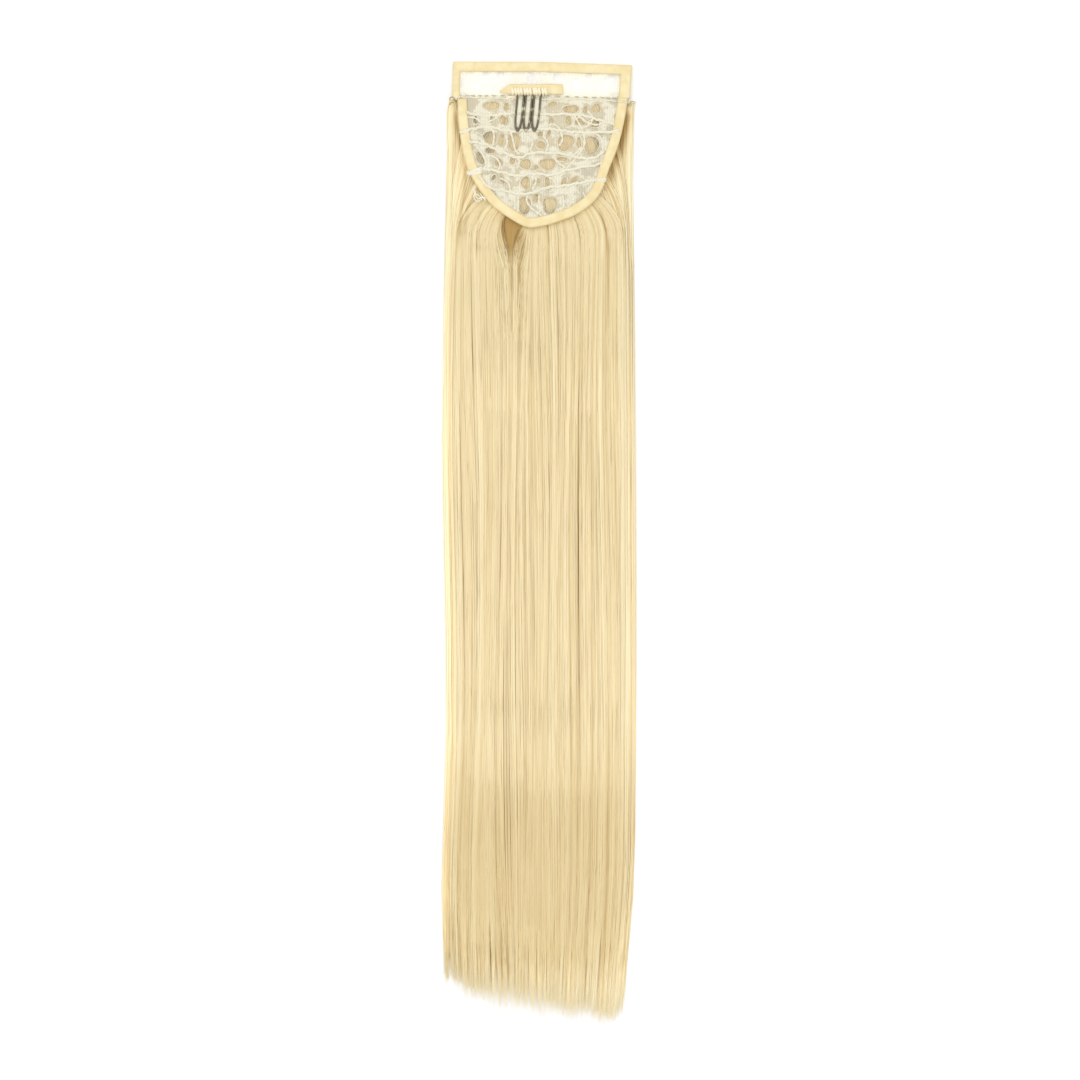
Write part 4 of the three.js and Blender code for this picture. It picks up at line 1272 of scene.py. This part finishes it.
def fold_tape(name, path, widths, node, subdivide, joint=9.0):
    """Carries the section along a path with mitred corners. The ribbon puckers slightly along its length."""
    across, height = tape_profile()
    lines = np.stack([inward(path, widths * share) for share in across], axis=1)
    steps = np.linspace(0, 1, subdivide, endpoint=False)
    between = lines[:-1, None] + (lines[1:] - lines[:-1])[:, None] * steps[None, :, None, None]
    lines = np.concatenate([between.reshape(-1, *lines.shape[1:]), lines[-1:]])
    along = np.concatenate([[0], np.cumsum(np.linalg.norm(np.diff(lines[:, 8], axis=0), axis=1))])[:, None]
    pucker = np.sin(along / (2.1 * MM)) * 0.5 + np.sin(along / (5.3 * MM) + 1) + np.sin(along / (11 * MM) + 2)
    upper = (height > (TAPE_LOW + TAPE_TOP) / 2)[None, :]
    lapped = ease((along - joint) / (0.5 * MM)) * ease((joint + 16 * MM - along) / (15 * MM))
    seated = TAPE_LOW * (1 - ease(underside(lines[..., 1]) / SEAM_RISE))
    z = underside(lines[..., 1]) + height[None] - seated + pucker * upper * across[None] * 0.09 * MM
    z = z + 0.3 * MM * lapped * upper
    points = placed(lines[..., 0], lines[..., 1], z, BASE_X)
    rows, size = points.shape[:2]
    faces = grid_faces(rows, size, wrap_columns=True)
    caps = cap_faces(size)
    end = caps[:, ::-1] + (rows - 1) * size
    uv = np.stack(np.broadcast_arrays(across[None] * 0.6, along * 100), axis=-1).reshape(-1, 2)
    faces = [block[:, ::-1] for block in (faces, caps, end)]
    piece = make_piece(name, points.reshape(-1, 3), faces, ribbon, "ribbon", (node,), uv)


def cap_faces(size):
    """The C-shaped end of the folded ribbon as quads between its outer and inner line."""
    outer = np.arange(OUTER_POINTS)
    inner = np.arange(size - 1, OUTER_POINTS - 1, -1)
    matched = inner[np.linspace(0, len(inner) - 1, OUTER_POINTS).round().astype(int)]
    return np.stack([outer[:-1], outer[1:], matched[1:], matched[:-1]], axis=1)


ribbon = ribbon_finish()


def make_binding():
    """The folded ribbon round the base and the one round the flap."""
    path = base_path(220)
    widths = np.full(len(path) - 1, BASE_TAPE)
    fold_tape("base_binding", path, widths, "base_tape", 1)
    widths = np.array([FLAP_LEFT_TAPE, FLAP_TOP_TAPE, FLAP_TOP_TAPE, FLAP_RIGHT_TAPE])
    fold_tape("flap_binding", flap_path(), widths, "flap_tape", 40, 83 * MM)


# Comb

def wire_height(y):
    """Height of the middle of wire that lies on the lace."""
    return underside(y) + LEAF + 2 * CLEARANCE + NET + WIRE


def comb_wire(plan, count):
    """Round wire through plan points, riding above the lace."""
    x, y = smooth_path(plan, count).T
    return sweep(placed(x, y, wire_height(y)), WIRE, WIRE, 10)


def make_comb():
    """Three narrow teeth of doubled wire with round tips on a bar whose end curls down."""
    leg, tip = TOOTH_WIDTH / 2, TOOTH_TIP / 2 + 0.3 * MM
    parts = []
    for number in (-1, 0, 1):
        top = COMB_X + number * TOOTH_SPACING
        stops = [(0, -leg), (0.3, -leg), (0.7, -leg), (0.9, -tip * 1.1), (0.99, -tip * 0.75), (1.03, 0),
                 (0.99, tip * 0.75), (0.9, tip * 1.1), (0.7, leg), (0.3, leg), (0, leg)]
        plan = [(top + TOOTH_LEAN * share + side, BAR_Y - TOOTH_LENGTH * share) for share, side in stops]
        parts.append(comb_wire(plan, 90))
    first = COMB_X - TOOTH_SPACING - leg
    last = COMB_X + TOOTH_SPACING + leg
    right = last + BAR_OVERHANG
    bar = [(first - 2 * WIRE, BAR_Y), (first, BAR_Y), (last, BAR_Y), (right - 1.2 * MM, BAR_Y),
           (right, BAR_Y - 1.2 * MM), (right, BAR_Y - BAR_CURL)]
    parts.append(comb_wire(bar, 60))
    angle = np.linspace(0, math.tau, 16, endpoint=False)
    for number in (-1, 0, 1):
        x = COMB_X + number * TOOTH_SPACING + TOOTH_LEAN + TIP_RING[0] * np.cos(angle)
        y = BAR_Y - TOOTH_LENGTH - 0.4 * MM + TIP_RING[1] * np.sin(angle)
        ring = placed(x, y, wire_height(y))
        parts.append(sweep(ring, TIP_RING_WIRE, TIP_RING_WIRE, 8, closed=True))
    make_piece("wire_comb", *joined(parts), wire_finish(), "wire", ("comb",))


# Whip stitches that hold the comb's bar, and the loose tail of their ribbon: millimetres across and
# below the seam
WHIP_STITCHES = [-17.6, -15.9, -13.8, -12.1, -10.2, -8.2, -6.4, -4.3, -2.6, -0.7, 1.2, 3.1]
RIBBON_TAIL = [(-21.2, -0.4), (-19, -1.1), (-16.8, -1.5), (-14.6, -1.8)]


def make_whip_stitches():
    """Short cream stitches from the ribbon down over the bar, and the flat tail beside them."""
    parts = []
    t = np.linspace(0, 1, 10)
    for number, across in enumerate(WHIP_STITCHES):
        x = (across + 0.8 * t + 0.2 * math.sin(number * 2)) * MM
        y = (6.4 - 4.6 * t) * MM
        z = wire_height(y) + (2.35 + 0.35 * np.sin(t * math.pi) - 2.4 * ease((t - 0.72) / 0.28)) * MM
        thick = 0.95 * MM * (0.75 + 0.25 * np.sin(t * math.pi))
        parts.append(sweep(placed(x, y, z), thick, thick * 0.55, 8))
    wide = 1.1 * MM * (0.35 + 0.65 * ease(np.linspace(0, 3, 20)))
    parts.append(sweep(placed(*over_lace(RIBBON_TAIL, 20, 0.55)), wide, 0.3 * MM, 8))
    finish = thread_finish("cream_thread", (255, 249, 226), (240, 224, 180))
    make_piece("comb_stitches", *joined(parts), finish, "ribbon")


def make_comb_ribbon():
    """Short ribbon over the comb's bar: humped where the wire is and pointed at its left end."""
    first = COMB_X - TOOTH_SPACING - TOOTH_WIDTH / 2
    left = first - RIBBON_LEFT
    bar_left = first - 2 * WIRE
    bar_right = COMB_X + TOOTH_SPACING + TOOTH_WIDTH / 2 + BAR_OVERHANG + WIRE
    x = np.linspace(left, left + RIBBON_LENGTH, 90)[None, :]
    side = np.linspace(1, -1, 14)[:, None]
    point = ease((x - left) / (7 * MM))
    half = RIBBON_WIDTH / 2 * (0.25 + 0.75 * point)
    dip = 1.4 * MM * (1 - point)
    y = BAR_Y + WIRE / 2 + 1.1 * MM - dip + half * side + 0.2 * MM * np.sin(x / (4.5 * MM))
    inside = np.minimum(x - bar_left, bar_right - x)
    hump = ease(1 + inside / RIBBON_RAMP)
    lift = CLEARANCE + hump * (2 * WIRE + CLEARANCE) + 0.15 * MM * (1 - 0.35 * side**2)
    z = underside(y) + LEAF + 2 * CLEARANCE + NET + lift + 0.08 * MM * np.sin(x / (1.7 * MM))
    top = placed(x, y, z + 0.35 * MM)
    points, faces = slab(top, top - (0, 0, 0.5 * MM))
    uv = np.stack(np.broadcast_arrays((side + 1) / 2 * 0.6, x * 100), axis=-1).reshape(-1, 2)
    uv = np.tile(uv, (2, 1))
    make_piece("comb_ribbon_cover", points, faces, ribbon, "ribbon", ("comb_ribbon",), uv)


# Stage, light and camera

FLOOR = 6.0
LIGHTS = [
    ("key_light", (-0.55, 0.75, 1.9), 1.8, 13),
    ("fill_light", (0.7, -0.5, 1.9), 1.8, 7),
]
VIEW_WIDTH = 0.6804
VIEW_BELOW_SEAM = 0.27846
MIDDLE_HEIGHT = 6 * MM


def make_stage():
    """White floor under soft light from above, and a camera squarely over the hairpiece."""
    mesh = bpy.data.meshes.new("floor")
    corners = [(-FLOOR, -FLOOR, 0), (FLOOR, -FLOOR, 0), (FLOOR, FLOOR, 0), (-FLOOR, FLOOR, 0)]
    mesh.from_pydata(corners, [], [(0, 1, 2, 3)])
    floor = bpy.data.objects.new("floor", mesh)
    own = Finish("pale_floor")
    white = (0.95, 0.95, 0.95, 1)
    mesh.materials.append(own.surface(base_color=white, roughness=0.9, specular_ior_level=0.1))
    bpy.context.scene.collection.objects.link(floor)

    world = bpy.data.worlds.new("studio")
    world.use_nodes = True
    sky = world.node_tree.nodes["Background"].inputs
    sky["Color"].default_value = (1, 1, 1, 1)
    sky["Strength"].default_value = 0.8
    bpy.context.scene.world = world

    for name, place, size, watts in LIGHTS:
        lamp = bpy.data.lights.new(name, "AREA")
        lamp.size = size
        lamp.energy = watts
        holder = bpy.data.objects.new(name, lamp)
        holder.location = place
        x, y, z = place
        holder.rotation_euler = (math.atan2(math.hypot(x, y), z), 0, math.atan2(-x, y) + math.pi)
        bpy.context.scene.collection.objects.link(holder)

    lens = bpy.data.cameras.new("camera")
    lens.lens = 100
    lens.sensor_width = 36
    camera = bpy.data.objects.new("camera", lens)
    distance = VIEW_WIDTH * lens.lens / lens.sensor_width
    camera.location = (HAIR_X, SEAM_Y - VIEW_BELOW_SEAM, MIDDLE_HEIGHT + distance)
    bpy.context.scene.collection.objects.link(camera)
    bpy.context.scene.camera = camera
    bpy.context.scene.view_settings.view_transform = "Standard"


make_hair()
make_lace()
make_fine_net()
make_lace_cords()
make_row_stitches()
make_binding_stitches()
dark_thread = thread_finish("dark_thread", (204, 190, 152), (150, 132, 94))
make_thread_ends("dark_thread_ends", DARK_ENDS, 0.36 * MM, dark_thread)
# Painted shadow along the seam: short grey rods, dressed as thread, stand in for the shade there
falls = [(x, 0.035 * max(0, x)) for x in SEAM_DASHES]
dashes = [[(x, -1.9 + fall, 2.75), (x + 2.6, -1.7 + fall, 2.75)] for x, fall in falls]
painted_seam_shadow = thread_finish("painted_seam_shadow", (206, 198, 172), (164, 154, 126))
make_thread_ends("seam_shadow_dashes", dashes, 0.28 * MM, painted_seam_shadow)
make_thread_ends("white_thread_scrap", WHITE_SCRAP, 0.35 * MM, thread_finish("scrap_thread"))
make_binding()
make_comb()
make_comb_ribbon()
make_whip_stitches()
make_stage()
